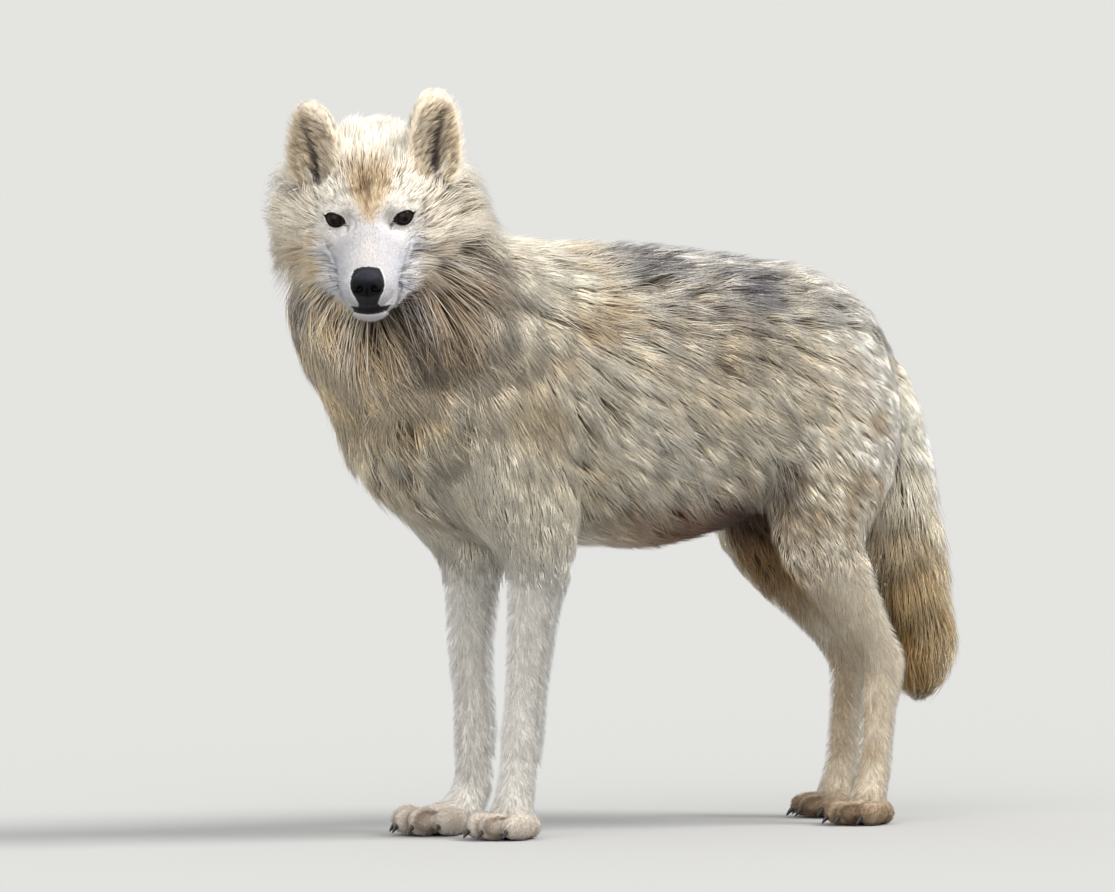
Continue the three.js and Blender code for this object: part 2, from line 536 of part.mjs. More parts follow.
// A claw: a cone that curves down towards its point.
function claw(root, dir) {
  const g = new THREE.ConeGeometry(CLAW_RADIUS, CLAW_LENGTH, 5, 2);
  const p = g.attributes.position;
  for (let i = 0; i < p.count; i++) {
    const t = p.getY(i) / CLAW_LENGTH + 0.5;
    p.setZ(i, p.getZ(i) * 1.25 + 2.2 * (t - t * t * 1.6));
  }
  const y = unit(dir), x = unit(cross(y, [0, 0, 1])), z = cross(x, y);
  g.applyMatrix4(new THREE.Matrix4().makeBasis(new THREE.Vector3(...x), new THREE.Vector3(...y), new THREE.Vector3(...z)).setPosition(...add(root, y, CLAW_LENGTH / 2 - 5)));
  return solidOf(g);
}
for (const [name, root, dir] of claws) body = body.add(claw(root, dir));
for (const s of [1, -1]) {
  const y = FORE_Y + (s > 0 ? 0 : -2);
  body = body.add(claw([s * (FORE_X - 19), y - 6, 84], [s * -0.35, -0.45, -0.8]));
}

// ---------------------------------------------------------------- parting the body
const carve = (name, region) => {
  parts.set(name, body.intersect(region(-PART_GAP / 2)));
  body = body.subtract(region(PART_GAP / 2));
};
const span = (s, a, b) => (s > 0 ? [a, b] : [-b, -a]);
for (const s of [1, -1]) {
  const n = unit(add(mul(HU, 0.9), HL, s * 0.43)), d = mul(unit(add(mul(HL, 0.9), HU, -s * 0.43)), LEFT);
  const [d0, d1] = span(s * LEFT, -30, 90);
  carve(s > 0 ? "ear_left" : "ear_right", (g) => block(head(-70, s * 60, 77), [d, HF, n], [d0, -75, 0], [d1, 50, 150], g));
}
carve("lower_jaw", (g) => block(EYES_MID, HEAD, [-42, 20, -118], [42, 140, -80], g));
{
  // Behind the ears and jaw: a slanting cut, with a level one under the jaw.
  const n = unit(add(mul(HF, 0.914), HU, 0.406)), d = unit(add(mul(HU, 0.914), HF, -0.406));
  carve("head", (g) => block(head(-112, 0, 70), [HEAD[0], n, d], [-220, 0, -260], [220, 320, 200], g)
    .intersect(block(EYES_MID, HEAD, [-230, -300, -106], [230, 300, 250], g)));
}
{
  const n = unit([0, -0.741, 0.672]), d = cross([1, 0, 0], n);
  carve("neck", (g) => block([0, -235, SHOULDER_HEIGHT - 3], [[1, 0, 0], n, d], [-300, 0, -500], [300, 600, 500], g));
}
{
  const n = unit([0, 0.985, 0.17]), d = cross([1, 0, 0], n);
  carve("tail", (g) => block([0, 272, 560], [[1, 0, 0], n, d], [-48, 0, -110], [72, 160, 90], g)
    .add(block([0, 0, 0], WORLD, [-30, 262, 300], [40, 460, 446], g))
    .add(block([0, 0, 0], WORLD, [-48, 288, 100], [50, 460, 500], g))
    .add(block([0, 0, 0], WORLD, [-48, 304, 100], [80, 460, 500], g)));
}
for (const s of [1, -1]) {
  const side = s > 0 ? "left" : "right", [a, b] = span(s, 2, 220);
  const step = s > 0 ? 0 : RIGHT_HIND_STEP;
  const half = (g, y0, y1, z0, z1) => block([0, 0, 0], WORLD, [a, y0, z0], [b, y1, z1], g);
  carve("forepaw_" + side, (g) => half(g, -460, -150, -60, 46));
  carve("wrist_" + side, (g) => half(g, -460, -150, -20, 150));
  carve("forearm_" + side, (g) => half(g, -460, -150, -20, 346));
  const slope = (deg) => { const t = rad(deg) * s; return [[Math.cos(t), 0, Math.sin(t)], [0, 1, 0], [-Math.sin(t), 0, Math.cos(t)]]; };
  carve("upper_arm_" + side, (g) => block([s * 34, 0, 362], slope(42), [-300, -392, -400], [300, -190, 0], g).intersect(half(g, -460, -100, 100, 600)));
  carve("hindpaw_" + side, (g) => half(g, 60, 420, -60, 44));
  carve("hock_" + side, (g) => half(g, 60, 420, -20, 232));
  carve("gaskin_" + side, (g) => half(g, 60, 420, -20, 336));
  carve("thigh_" + side, (g) => block([s * 30, 0, 429], slope(50), [-400, 84, -400], [400, 420, 0], g).intersect(half(g, 60, 420, 100, 700)));
}
parts.set("trunk", body);

// ---------------------------------------------------------------- assembly, origin under the middle
const low = [1e9, 1e9, 1e9], high = [-1e9, -1e9, -1e9];
for (const m of parts.values()) {
  const b = m.boundingBox();
  for (let k = 0; k < 3; k++) { low[k] = Math.min(low[k], b.min[k]); high[k] = Math.max(high[k], b.max[k]); }
}
const ORIGIN = [(low[0] + high[0]) / 2, (low[1] + high[1]) / 2, low[2]];
const looks = (name) => {
  if (name.startsWith("eye")) return new THREE.MeshStandardMaterial({ color: 0x2b1a0e, roughness: 0.08, metalness: 0 });
  if (name === "nose") return new THREE.MeshStandardMaterial({ color: 0x1b1a1c, roughness: 0.45, metalness: 0 });
  if (name.startsWith("ear")) return new THREE.MeshStandardMaterial({ color: 0xa2927c, roughness: 0.9, metalness: 0 });
  if (name.includes("paw")) return new THREE.MeshStandardMaterial({ color: 0xd2c6b2, roughness: 0.9, metalness: 0 });
  if (name.startsWith("wrist") || name.startsWith("forearm")) return new THREE.MeshStandardMaterial({ color: 0xe6e1d8, roughness: 0.9, metalness: 0 });
  if (name === "neck") return new THREE.MeshStandardMaterial({ color: 0xbfae93, roughness: 0.95, metalness: 0 });
  return new THREE.MeshStandardMaterial({ color: 0xd8cdb8, roughness: 0.95, metalness: 0 });
};
const wolf = new THREE.Group();
wolf.name = "arctic_wolf";
for (const [name, solid] of parts) {
  const m = solid.getMesh(), V = [], T = [];
  for (let i = 0; i < m.vertProperties.length; i += m.numProp) V.push([0, 1, 2].map((k) => m.vertProperties[i + k] - ORIGIN[k]));
  for (let i = 0; i < m.triVerts.length; i += 3) T.push(Array.from(m.triVerts.slice(i, i + 3)));
  const neat = tidy({ V, T });
  const g = new THREE.BufferGeometry();
  g.setAttribute("position", new THREE.Float32BufferAttribute(neat.V.flat(), 3));
  g.setIndex(neat.T.flat());
  g.computeVertexNormals();
  const mesh = new THREE.Mesh(g, looks(name));
  mesh.name = name;
  wolf.add(mesh);
}
export default wolf;
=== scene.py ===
import math
import time
import bmesh
import bpy
import numpy as np
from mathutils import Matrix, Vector, kdtree


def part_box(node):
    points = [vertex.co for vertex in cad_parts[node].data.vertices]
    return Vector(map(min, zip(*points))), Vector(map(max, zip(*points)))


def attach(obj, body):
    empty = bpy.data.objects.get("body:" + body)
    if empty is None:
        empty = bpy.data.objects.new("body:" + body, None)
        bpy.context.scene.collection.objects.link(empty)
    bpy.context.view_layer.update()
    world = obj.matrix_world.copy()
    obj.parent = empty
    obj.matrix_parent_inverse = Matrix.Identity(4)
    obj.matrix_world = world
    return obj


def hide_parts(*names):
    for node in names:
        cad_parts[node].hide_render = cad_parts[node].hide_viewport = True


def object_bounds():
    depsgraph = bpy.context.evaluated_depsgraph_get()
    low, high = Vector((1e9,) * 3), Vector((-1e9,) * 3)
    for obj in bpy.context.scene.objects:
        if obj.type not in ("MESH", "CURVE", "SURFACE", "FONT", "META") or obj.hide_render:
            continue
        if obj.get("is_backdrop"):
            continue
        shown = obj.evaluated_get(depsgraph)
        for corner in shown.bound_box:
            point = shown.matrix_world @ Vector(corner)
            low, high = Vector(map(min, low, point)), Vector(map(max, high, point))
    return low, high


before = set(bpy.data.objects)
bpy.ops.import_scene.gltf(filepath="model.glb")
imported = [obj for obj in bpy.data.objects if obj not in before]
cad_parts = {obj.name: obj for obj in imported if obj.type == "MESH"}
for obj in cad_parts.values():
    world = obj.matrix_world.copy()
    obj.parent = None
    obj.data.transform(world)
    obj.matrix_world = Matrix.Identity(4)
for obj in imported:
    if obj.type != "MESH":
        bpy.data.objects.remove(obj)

# A standing arctic wolf. The body is worked out in millimetres in the same way as the solids
# (swept, blended forms with a skin radius and a coat depth), meshed once as one skin, and
# covered with tufts of mesh fur that follow the lie of the coat up to the solids' outline.
START = time.time()
CAD_LOW, CAD_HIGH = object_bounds()
rng = np.random.RandomState(11)


def log(*a):
    print("[wolf %5.1f s]" % (time.time() - START), *a, flush=True)


def V(*a):
    return np.array(a, float)


def unit(v):
    v = np.asarray(v, float)
    return v / np.maximum(np.linalg.norm(v, axis=-1, keepdims=True), 1e-9)


def sat(x):
    return np.clip(x, 0.0, 1.0)


def smooth(a, b, x):
    t = sat((x - a) / (b - a))
    return t * t * (3 - 2 * t)


# ------------------------------------------------------------------ sizes shared with the solids
SHOULDER_HEIGHT = 738.0
FORE_Y, HIND_Y, FORE_X, HIND_X = -283.0, 250.0, 61.0, 74.0
RIGHT_FORE_STEP, RIGHT_HIND_STEP = -28.0, 58.0
EYES_MID = V(91.5, -529, 773)
HEAD_YAW, HEAD_PITCH, HEAD_ROLL = 53.0, 21.5, 2.0
EYE_RADIUS = 12.0
EAR_LEAN = 22.0


def head_axes():
    y, p, r = (math.radians(a) for a in (HEAD_YAW, HEAD_PITCH, HEAD_ROLL))
    f = V(math.sin(y) * math.cos(p), -math.cos(y) * math.cos(p), -math.sin(p))
    l = V(math.cos(y), math.sin(y), 0)
    u = np.cross(f, l)
    u = -u if u[2] < 0 else u
    return f, l * math.cos(r) + u * math.sin(r), -l * math.sin(r) + u * math.cos(r)


HF, HL, HU = head_axes()


def head(f, l, u):
    return EYES_MID + HF * f + HL * l + HU * u


def head_rows(rows):
    return [(n, *head(f, l, u), *r) for n, f, l, u, *r in rows]


def in_head(p):
    q = p - EYES_MID
    return q @ HF, q @ HL, q @ HU


# ------------------------------------------------------------------ the forms
SHAPES = []


def loft(group, rows, side=(1, 0, 0), steps=3, blend=30):
    st = np.array([r[1:] for r in rows], float)
    out = []
    for i in range(len(st) - 1):
        p1, p2 = st[i], st[i + 1]
        p0 = st[i - 1] if i else 2 * p1 - p2
        p3 = st[i + 2] if i < len(st) - 2 else 2 * p2 - p1
        for s in range(steps):
            t = s / steps
            out.append(0.5 * (2 * p1 + (p2 - p0) * t + (2 * p0 - 5 * p1 + 4 * p2 - p3) * t * t + (3 * p1 - p0 - 3 * p2 + p3) * t**3))
    out.append(st[-1])
    SHAPES.append(dict(group=group, S=np.array(out), side=unit(side), blend=blend, cut=False))


def ellipsoid(group, c, r, axes=((1, 0, 0), (0, 1, 0), (0, 0, 1)), blend=10, cut=False, coat=0.0):
    SHAPES.append(dict(group=group, c=np.array(c, float), r=np.array(r, float), axes=np.array(axes, float), blend=blend, cut=cut, coat=coat))


loft("trunk", [
    ("breast", 0, -392, 482, 48, 56, 40),
    ("fore_chest", 0, -350, 515, 76, 102, 42),
    ("shoulders", 0, -292, 542, 92, 139, 40),
    ("withers", 0, -220, SHOULDER_HEIGHT - 191, 98, 154, 36),
    ("girth", 0, -130, 547, 101, 158, 34),
    ("ribs", 0, -40, 542, 104, 159, 33),
    ("loin", 0, 50, 552, 100, 143, 31),
    ("flank", 0, 120, 575, 88, 114, 29),
    ("croup", 0, 175, 588, 78, 90, 26),
    ("rump", 0, 214, 578, 68, 75, 22),
    ("tail_set", 0, 234, 562, 50, 54, 22),
], steps=4, blend=40)
loft("neck", [
    ("neck_base", 0, -262, 560, 84, 128, 36),
    ("lower_neck", 2, -345, 596, 84, 118, 44),
    ("mid_neck", 6, -416, 655, 82, 98, 54),
    ("ruff", 8, -446, 722, 74, 82, 58),
    ("nape", 0, -450, 770, 64, 58, 50),
    ("poll", *head(-136, 0, -6), 56, 36, 38),
], steps=4, blend=44)
loft("head", head_rows([
    ("occiput", -118, 0, 4, 48, 44, 38),
    ("crown", -95, 0, 10, 59, 50, 34),
    ("temples", -70, 0, 5, 64, 47, 24),
    ("brow", -45, 0, -2, 64, 43, 15),
    ("orbits", -20, 0, -10, 54, 38, 10),
    ("stop", 0, 0, -18, 44, 31, 7),
    ("bridge", 20, 0, -26, 37, 26, 5),
]), side=HL, steps=2, blend=16)
loft("muzzle", head_rows([
    ("muzzle_root", 10, 0, -32, 40, 31, 6),
    ("mid_muzzle", 45, 0, -38, 37, 27, 5),
    ("whisker_bed", 72, 0, -43, 36, 27, 4),
    ("upper_lip", 90, 0, -48, 33, 26, 3),
    ("muzzle_tip", 98, 0, -50, 26, 23, 3),
]), side=HL, steps=2, blend=12)
loft("jaw", head_rows([
    ("jaw_angle", -60, 0, -58, 48, 30, 26),
    ("jaw_mid", -20, 0, -66, 44, 24, 18),
    ("jaw_front", 28, 0, -77, 34, 18, 9),
    ("lower_lip", 64, 0, -83, 27, 14, 6),
    ("chin", 84, 0, -85, 21, 11, 5),
]), side=HL, steps=2, blend=10)
for s in (1, -1):
    loft("head", head_rows([
        ("cheek_front", -20, s * 44, -24, 20, 24, 8),
        ("cheek", -52, s * 52, -24, 24, 34, 24),
        ("cheek_ruff", -82, s * 58, -24, 26, 38, 42),
        ("ruff_edge", -112, s * 60, -20, 26, 38, 46),
    ]), side=HL, steps=2, blend=20)
for s in (1, -1):
    ellipsoid("head", head(15, s * 40, 0), (24, 14, 14), (HL, HF, HU), blend=9, cut=True)

CLAWS = []
PAWS = []


def paw(x, y, size, turn, side):
    c, n = math.cos(math.radians(turn)), math.sin(math.radians(turn))
    PAWS.append((x, y, size, c, n))

    def at(px, py, pz):
        return V(x + (px * c + py * n) * size, y + (-px * n + py * c) * size, pz * size)

    for tx, ty in ((-31, -13), (-11, -34), (11, -34), (31, -13)):
        ellipsoid("paw_" + side, at(tx, ty, 17), (12 * size, 25 * size, 16 * size), ((c, -n, 0), (n, c, 0), (0, 0, 1)), blend=3, coat=2)
        CLAWS.append((at(tx * 1.02, ty - 21, 12.5), unit(V(-n * 0.86 + tx / 28 * 0.12, -c * 0.86, -0.42))))
    ellipsoid("paw_" + side, at(0, 12, 15), (29 * size, 30 * size, 20 * size), blend=6, coat=2)


def foreleg(side, s, wrist, pastern, root, toes, size, turn):
    loft("foreleg_" + side, [
        ("shoulder_blade", s * 62, -300, 600, 34, 62, 26),
        ("shoulder_point", s * 72, -345, 510, 42, 58, 28),
        ("upper_arm", s * 74, -290, 430, 36, 56, 24),
        ("elbow", s * 72, -262, 370, 29, 40, 16),
        ("forearm_top", s * 68, -266, 310, 22, 29, 10),
        ("forearm", s * 65, -272, 240, 19, 22, 9),
        ("forearm_low", s * 62, -277 + wrist * 0.6, 170, 17, 19, 8),
        ("wrist", s * FORE_X, FORE_Y + 2 + wrist, 125, 20, 21, 7),
        ("cannon", s * FORE_X, FORE_Y + wrist, 100, 18, 18, 7),
        ("pastern", s * 62, pastern, 60, 19, 20, 7),
        ("paw_root", s * 63, root, 30, 25, 22, 5),
    ], steps=2, blend=26)
    paw(s * 64, toes, size, turn, "fore_" + side)


foreleg("left", 1, 0, -289, -296, -301, 1.04, -10)
foreleg("right", -1, 14, -266, -284, -293 + RIGHT_FORE_STEP, 1.12, -16)


def hindleg(side, s, step, stifle):
    loft("hindleg_" + side, [
        ("hip", s * 46, 190, 582, 40, 58, 16),
        ("haunch", s * 64, 194 + step * 0.2, 525, 48, 80, 17),
        ("thigh", s * 80, 178 + step * 0.5 - stifle * 0.4, 455, 44, 78, 16),
        ("thigh_low", s * 86, 156 + step * 0.8 - stifle, 395, 36, 60, 15),
        ("stifle", s * 86, 158 + step - stifle, 352, 30, 46, 13),
        ("gaskin", s * 82, 196 + step - stifle * 0.6, 300, 25, 38, 11),
        ("gaskin_low", s * 78, 236 + step, 245, 20, 28, 9),
        ("hock", s * 75, 260 + step, 205, 17, 24, 8),
        ("hock_low", s * HIND_X, HIND_Y + 10 + step, 175, 16, 21, 7),
        ("hind_cannon", s * HIND_X, HIND_Y + 5 + step, 120, 15, 18, 7),
        ("hind_pastern", s * HIND_X, HIND_Y + step, 70, 16, 18, 7),
        ("hind_paw_root", s * HIND_X, HIND_Y - 10 + step, 32, 22, 20, 4),
    ], steps=2, blend=30)
    loft("hindleg_" + side, [
        ("hock_tendon", s * 75, 266 + step, 216, 12, 12, 6),
        ("hock_point", s * 75, 280 + step, 204, 11, 12, 5),
        ("hock_base", s * 75, 268 + step, 170, 12, 12, 5),
    ], steps=2, blend=14)
    paw(s * HIND_X, HIND_Y - 14 + step, 0.95, -6 * s, "hind_" + side)


hindleg("left", 1, 0, 0)
hindleg("right", -1, RIGHT_HIND_STEP, 14)
TAIL = [
    ("tail_root", 0, 248, 596, 20, 24, 16),
    ("tail_top", 4, 296, 562, 16, 18, 20),
    ("tail_upper", 8, 320, 510, 14, 14, 27),
    ("tail_mid", 9, 331, 440, 12, 12, 37),
    ("tail_brush", 10, 341, 350, 10, 10, 44),
    ("tail_full", 10, 351, 295, 10, 10, 45),
    ("tail_low", 10, 359, 245, 9, 9, 45),
    ("tail_end", 10, 366, 205, 8, 8, 39),
    ("tail_tip", 10, 366, 172, 4, 4, 20),
]
loft("tail", TAIL, steps=3, blend=24)
EARS = {}
for s in (1, -1):
    c, n = math.cos(math.radians(EAR_LEAN)), math.sin(math.radians(EAR_LEAN))
    across, facing = HL * c - HF * s * n, HF * c + HL * s * n
    h = 1.02 if s > 0 else 0.94
    l0, l1, l2, l3, l4 = (70, 76, 80, 82, 83) if s > 0 else (-62, -64, -66, -69, -71)
    loft("ear_left" if s > 0 else "ear_right", head_rows([
        ("ear_root", -66, l0, 30, 38, 20, 7),
        ("ear_base", -70, l1, 60, 37, 17, 6),
        ("ear_mid", -75, l2, 88 * h, 31, 14, 5),
        ("ear_upper", -79, l3, 112 * h, 25, 9, 5),
        ("ear_tip", -82, l4, 129 * h, 14, 5, 4),
    ]), side=across, steps=3, blend=12)
    up = unit(head(-82, l4, 140) - head(-68, l1, 50))
    hollow = head(-72, l2 - s * 1.5, 79 * h) + facing * 20
    ellipsoid("ear_left" if s > 0 else "ear_right", hollow, (27, 19, 55 * h), (np.cross(up, facing), facing, up), blend=6, cut=True)
    EARS[s] = dict(across=across * s, facing=facing, up=up, base=head(-68, l1, 50), hollow=hollow, size=V(27, 19, 55 * h))


def evaluate(sh, X, Y, Z, coat):
    """Signed distance, about, of one form at points given as arrays that broadcast."""
    if "S" not in sh:
        r = sh["r"] + coat * sh["coat"]
        s0 = s1 = 0.0
        for k in range(3):
            a = sh["axes"][k]
            v = ((X - sh["c"][0]) * a[0] + (Y - sh["c"][1]) * a[1] + (Z - sh["c"][2]) * a[2]) / r[k]
            s0 = s0 + v * v
            s1 = s1 + (v / r[k]) ** 2
        k0 = np.sqrt(s0) + 1e-9
        return np.where(k0 < 0.3, (k0 - 1) * r.min(), k0 * (k0 - 1) / (np.sqrt(s1) + 1e-9))
    best = None
    S = sh["S"].astype(np.float32)
    for A, B in zip(S[:-1], S[1:]):
        d = B[:3] - A[:3]
        L = float(np.linalg.norm(d))
        dh = d / L
        sd = sh["side"] - dh * (sh["side"] @ dh)
        sd = (sd / np.linalg.norm(sd)).astype(np.float32)
        nn = np.cross(dh, sd).astype(np.float32)
        qx, qy, qz = X - A[0], Y - A[1], Z - A[2]
        tl = qx * dh[0] + qy * dh[1] + qz * dh[2]
        t = np.clip(tl / L, 0, 1)
        a0, b0 = A[3] + coat * A[5], A[4] + coat * A[5]
        a1, b1 = B[3] + coat * B[5], B[4] + coat * B[5]
        a, b = a0 + (a1 - a0) * t, b0 + (b1 - b0) * t
        m = np.minimum(a, b)
        x = (qx * sd[0] + qy * sd[1] + qz * sd[2]) / a
        y = (qx * nn[0] + qy * nn[1] + qz * nn[2]) / b
        z = (tl - t * L) / m
        k0 = np.sqrt(x * x + y * y + z * z) + 1e-6
        x, y, z = x / a, y / b, z / m
        k1 = np.sqrt(x * x + y * y + z * z) + 1e-6
        f = np.where(k0 < 0.3, (k0 - 1) * m, k0 * (k0 - 1) / k1)
        best = f if best is None else np.minimum(best, f)
    return best


def smin(a, b, k):
    h = np.maximum(k - np.abs(a - b), 0) / k
    return np.minimum(a, b) - h * h * k * 0.25


def reach(sh, coat):
    if "S" in sh:
        r = np.maximum(sh["S"][:, 3], sh["S"][:, 4]) + coat * sh["S"][:, 5]
        return (sh["S"][:, :3] - r[:, None]).min(0), (sh["S"][:, :3] + r[:, None]).max(0)
    r = (sh["r"] + coat * sh["coat"]).max()
    return sh["c"] - r, sh["c"] + r


def sample(axes, coat, pad):
    F = np.full([len(a) for a in axes], 200.0, np.float32)
    for sh in SHAPES:
        lo, hi = reach(sh, coat)
        m = pad + sh["blend"]
        sl = [slice(*np.searchsorted(a, [lo[k] - m, hi[k] + m])) for k, a in enumerate(axes)]
        if any(q.stop <= q.start for q in sl):
            continue
        X = axes[0][sl[0]].astype(np.float32)[:, None, None]
        Y = axes[1][sl[1]].astype(np.float32)[None, :, None]
        Z = axes[2][sl[2]].astype(np.float32)[None, None, :]
        f = evaluate(sh, X, Y, Z, coat)
        g = F[tuple(sl)]
        F[tuple(sl)] = -smin(-g, f, sh["blend"]) if sh["cut"] else smin(g, f, sh["blend"])
    return F


def spans(*rows):
    return np.concatenate([np.arange(a, b - 1e-6, st) for a, b, st in rows])


class Field:
    """A sampled distance field, read between its grid points."""

    def __init__(self, axes, F):
        self.axes, self.F = axes, F

    def __call__(self, P):
        ix, fr = [], []
        for k in range(3):
            a = self.axes[k]
            i = np.clip(np.searchsorted(a, P[:, k]) - 1, 0, len(a) - 2)
            ix.append(i)
            fr.append(sat((P[:, k] - a[i]) / (a[i + 1] - a[i])))
        out = 0
        for cx in (0, 1):
            for cy in (0, 1):
                for cz in (0, 1):
                    w = (fr[0] if cx else 1 - fr[0]) * (fr[1] if cy else 1 - fr[1]) * (fr[2] if cz else 1 - fr[2])
                    out = out + w * self.F[ix[0] + cx, ix[1] + cy, ix[2] + cz]
        return out

    def slope(self, P, e=3.0):
        g = np.stack([(self(P + d) - self(P - d)) for d in np.eye(3) * e], 1)
        return unit(g)


def surface_nets(F, axes):
    """One vertex in each cell the surface crosses; four-sided faces, facing out."""
    F = F.astype(np.float64)
    n = [k - 1 for k in F.shape]
    acc, cnt = np.zeros((n[0] * n[1] * n[2], 3)), np.zeros(n[0] * n[1] * n[2])
    crossings = []
    for ax in range(3):
        a, b = [slice(None)] * 3, [slice(None)] * 3
        a[ax], b[ax] = slice(0, -1), slice(1, None)
        Fa, Fb = F[tuple(a)], F[tuple(b)]
        cross = (Fa < 0) != (Fb < 0)
        I = np.argwhere(cross)
        fa, fb = Fa[cross], Fb[cross]
        P = np.stack([axes[d][I[:, d]] for d in range(3)], 1)
        P[:, ax] += fa / (fa - fb) * (axes[ax][I[:, ax] + 1] - axes[ax][I[:, ax]])
        o = [(ax + 1) % 3, (ax + 2) % 3]
        keep = (I[:, o[0]] > 0) & (I[:, o[1]] > 0) & (I[:, o[0]] < F.shape[o[0]] - 1) & (I[:, o[1]] < F.shape[o[1]] - 1)
        I, P, inside = I[keep], P[keep], (fa < 0)[keep]
        cells = []
        for d0, d1 in ((-1, -1), (0, -1), (0, 0), (-1, 0)):
            J = I.copy()
            J[:, o[0]] += d0
            J[:, o[1]] += d1
            flat = (J[:, 0] * n[1] + J[:, 1]) * n[2] + J[:, 2]
            for k in range(3):
                acc[:, k] += np.bincount(flat, P[:, k], minlength=len(cnt))
            cnt += np.bincount(flat, minlength=len(cnt))
            cells.append(flat)
        q = np.stack(cells, 1)
        q[~inside] = q[~inside][:, ::-1]
        crossings.append(q)
    has = cnt > 0
    idx = np.cumsum(has) - 1
    return acc[has] / cnt[has][:, None], idx[np.concatenate(crossings)]


# ------------------------------------------------------------------ noise
_tables = {}


def noise(P, size, seed):
    """Smooth random values, 0 to 1, with features about size across."""
    if seed not in _tables:
        _tables[seed] = np.random.RandomState(1000 + seed).rand(32, 32, 32).astype(np.float32)
    T = _tables[seed]
    q = P / size + seed * 7.31
    i = np.floor(q).astype(int)
    f = q - i
    f = f * f * (3 - 2 * f)
    i &= 31
    j = (i + 1) & 31
    out = 0
    for a in (0, 1):
        for b in (0, 1):
            for c in (0, 1):
                w = (f[:, 0] if a else 1 - f[:, 0]) * (f[:, 1] if b else 1 - f[:, 1]) * (f[:, 2] if c else 1 - f[:, 2])
                out = out + w * T[(j if a else i)[:, 0], (j if b else i)[:, 1], (j if c else i)[:, 2]]
    return out


# ------------------------------------------------------------------ skin mesh
fine = 3.2
body = 6.0
axes0 = [
    spans((-150, -48, body), (-48, 190, fine), (190, 196, fine)),
    spans((-628, -376, fine), (-376, 420, body)),
    spans((-4.5, 54, 4.0), (54, 640, body), (640, 950, fine)),
]
F0 = sample(axes0, 0.0, 14)
floor_cut = -np.broadcast_to(axes0[2].astype(np.float32)[None, None, :], F0.shape)
skin_v, skin_q = surface_nets(np.maximum(F0, floor_cut), axes0)
log("skin", len(skin_v), len(skin_q))
step1 = 1.0
axes1 = [
    spans((-200, -60, 9 * step1), (-60, 200, 5 * step1), (200, 240, 9 * step1)),
    spans((-660, -380, 5 * step1), (-380, 450, 9 * step1)),
    spans((-30, 60, 6 * step1), (60, 630, 9 * step1), (630, 985, 5 * step1)),
]
OUTER = Field(axes1, sample(axes1, 1.0, 40))
log("outer field")


def neighbours(faces, count):
    e = np.concatenate([faces[:, [k, (k + 1) % faces.shape[1]]] for k in range(faces.shape[1])])
    e = np.unique(np.sort(e, 1), axis=0)
    e = np.concatenate([e, e[:, ::-1]])
    return e, np.maximum(np.bincount(e[:, 0], minlength=count), 1)


def relax(v, faces, weight, rounds):
    e, n = neighbours(faces, len(v))
    for _ in range(rounds):
        m = np.stack([np.bincount(e[:, 0], v[e[:, 1], k], minlength=len(v)) for k in range(3)], 1) / n[:, None]
        v = v + (m - v) * weight[:, None]
    return v


f, l, u = in_head(skin_v)
ears_zone = (f > -125) & (u > 40) & (np.abs(l) > 30)
soft = np.where(skin_v[:, 2] < 50, 0.08, np.where(skin_v[:, 2] < 330, 0.3, 0.6))
soft = np.where((u > -105) & (f > -40), 0.12, np.where((u > -105) & ears_zone, 0.15, soft))
flat = skin_v[:, 2] < 0.6
soft[flat] = 0
skin_v = relax(skin_v, skin_q, soft, 14)
skin_v[:, 2] = np.maximum(skin_v[:, 2], 0)

# ------------------------------------------------------------------ eyes: where they sit and look
EYES = {}
for s in (1, -1):
    c = head(-8, s * 41, 0)
    gaze = unit(HF * math.cos(math.radians(17)) + HL * s * math.sin(math.radians(17)) + HU * 0.06)
    r = HL * s - gaze * (HL * s @ gaze)
    r = unit(r)
    w = np.cross(gaze, r)
    w = w if w @ HU > 0 else -w
    tilt = math.radians(17)
    EYES[s] = dict(c=c, gaze=gaze, r=unit(r * math.cos(tilt) + w * math.sin(tilt)), u=unit(w * math.cos(tilt) - r * math.sin(tilt)), nose=c + gaze * 0)


def eye_local(P, s):
    """Along the opening (inner corner negative), up it, out of it, and the distance outside its edge."""
    e = EYES[s]
    q = P - e["c"]
    a, b, d = q @ e["r"], q @ e["u"], q @ e["gaze"]
    W = np.where(a < 0, 13.8, 12.8)
    k = np.maximum(1 - (a / W) ** 2, 0)
    up, dn = 8.4 * k**0.62, 6.6 * k**0.75
    edge = np.where(b > 0, b - up, -b - dn)
    out = np.abs(a) - W
    return a, b, d, np.where(out > 0, np.hypot(out, np.maximum(edge, 0)), edge)


def mesh_from(name, v, faces):
    me = bpy.data.meshes.new(name)
    faces = np.asarray(faces)
    k = faces.shape[1]
    me.vertices.add(len(v))
    me.vertices.foreach_set("co", np.asarray(v, np.float32).ravel())
    me.loops.add(faces.size)
    me.loops.foreach_set("vertex_index", faces.astype(np.int32).ravel())
    me.polygons.add(len(faces))
    me.polygons.foreach_set("loop_start", np.arange(0, faces.size, k, dtype=np.int32))
    me.update(calc_edges=True)
    return me


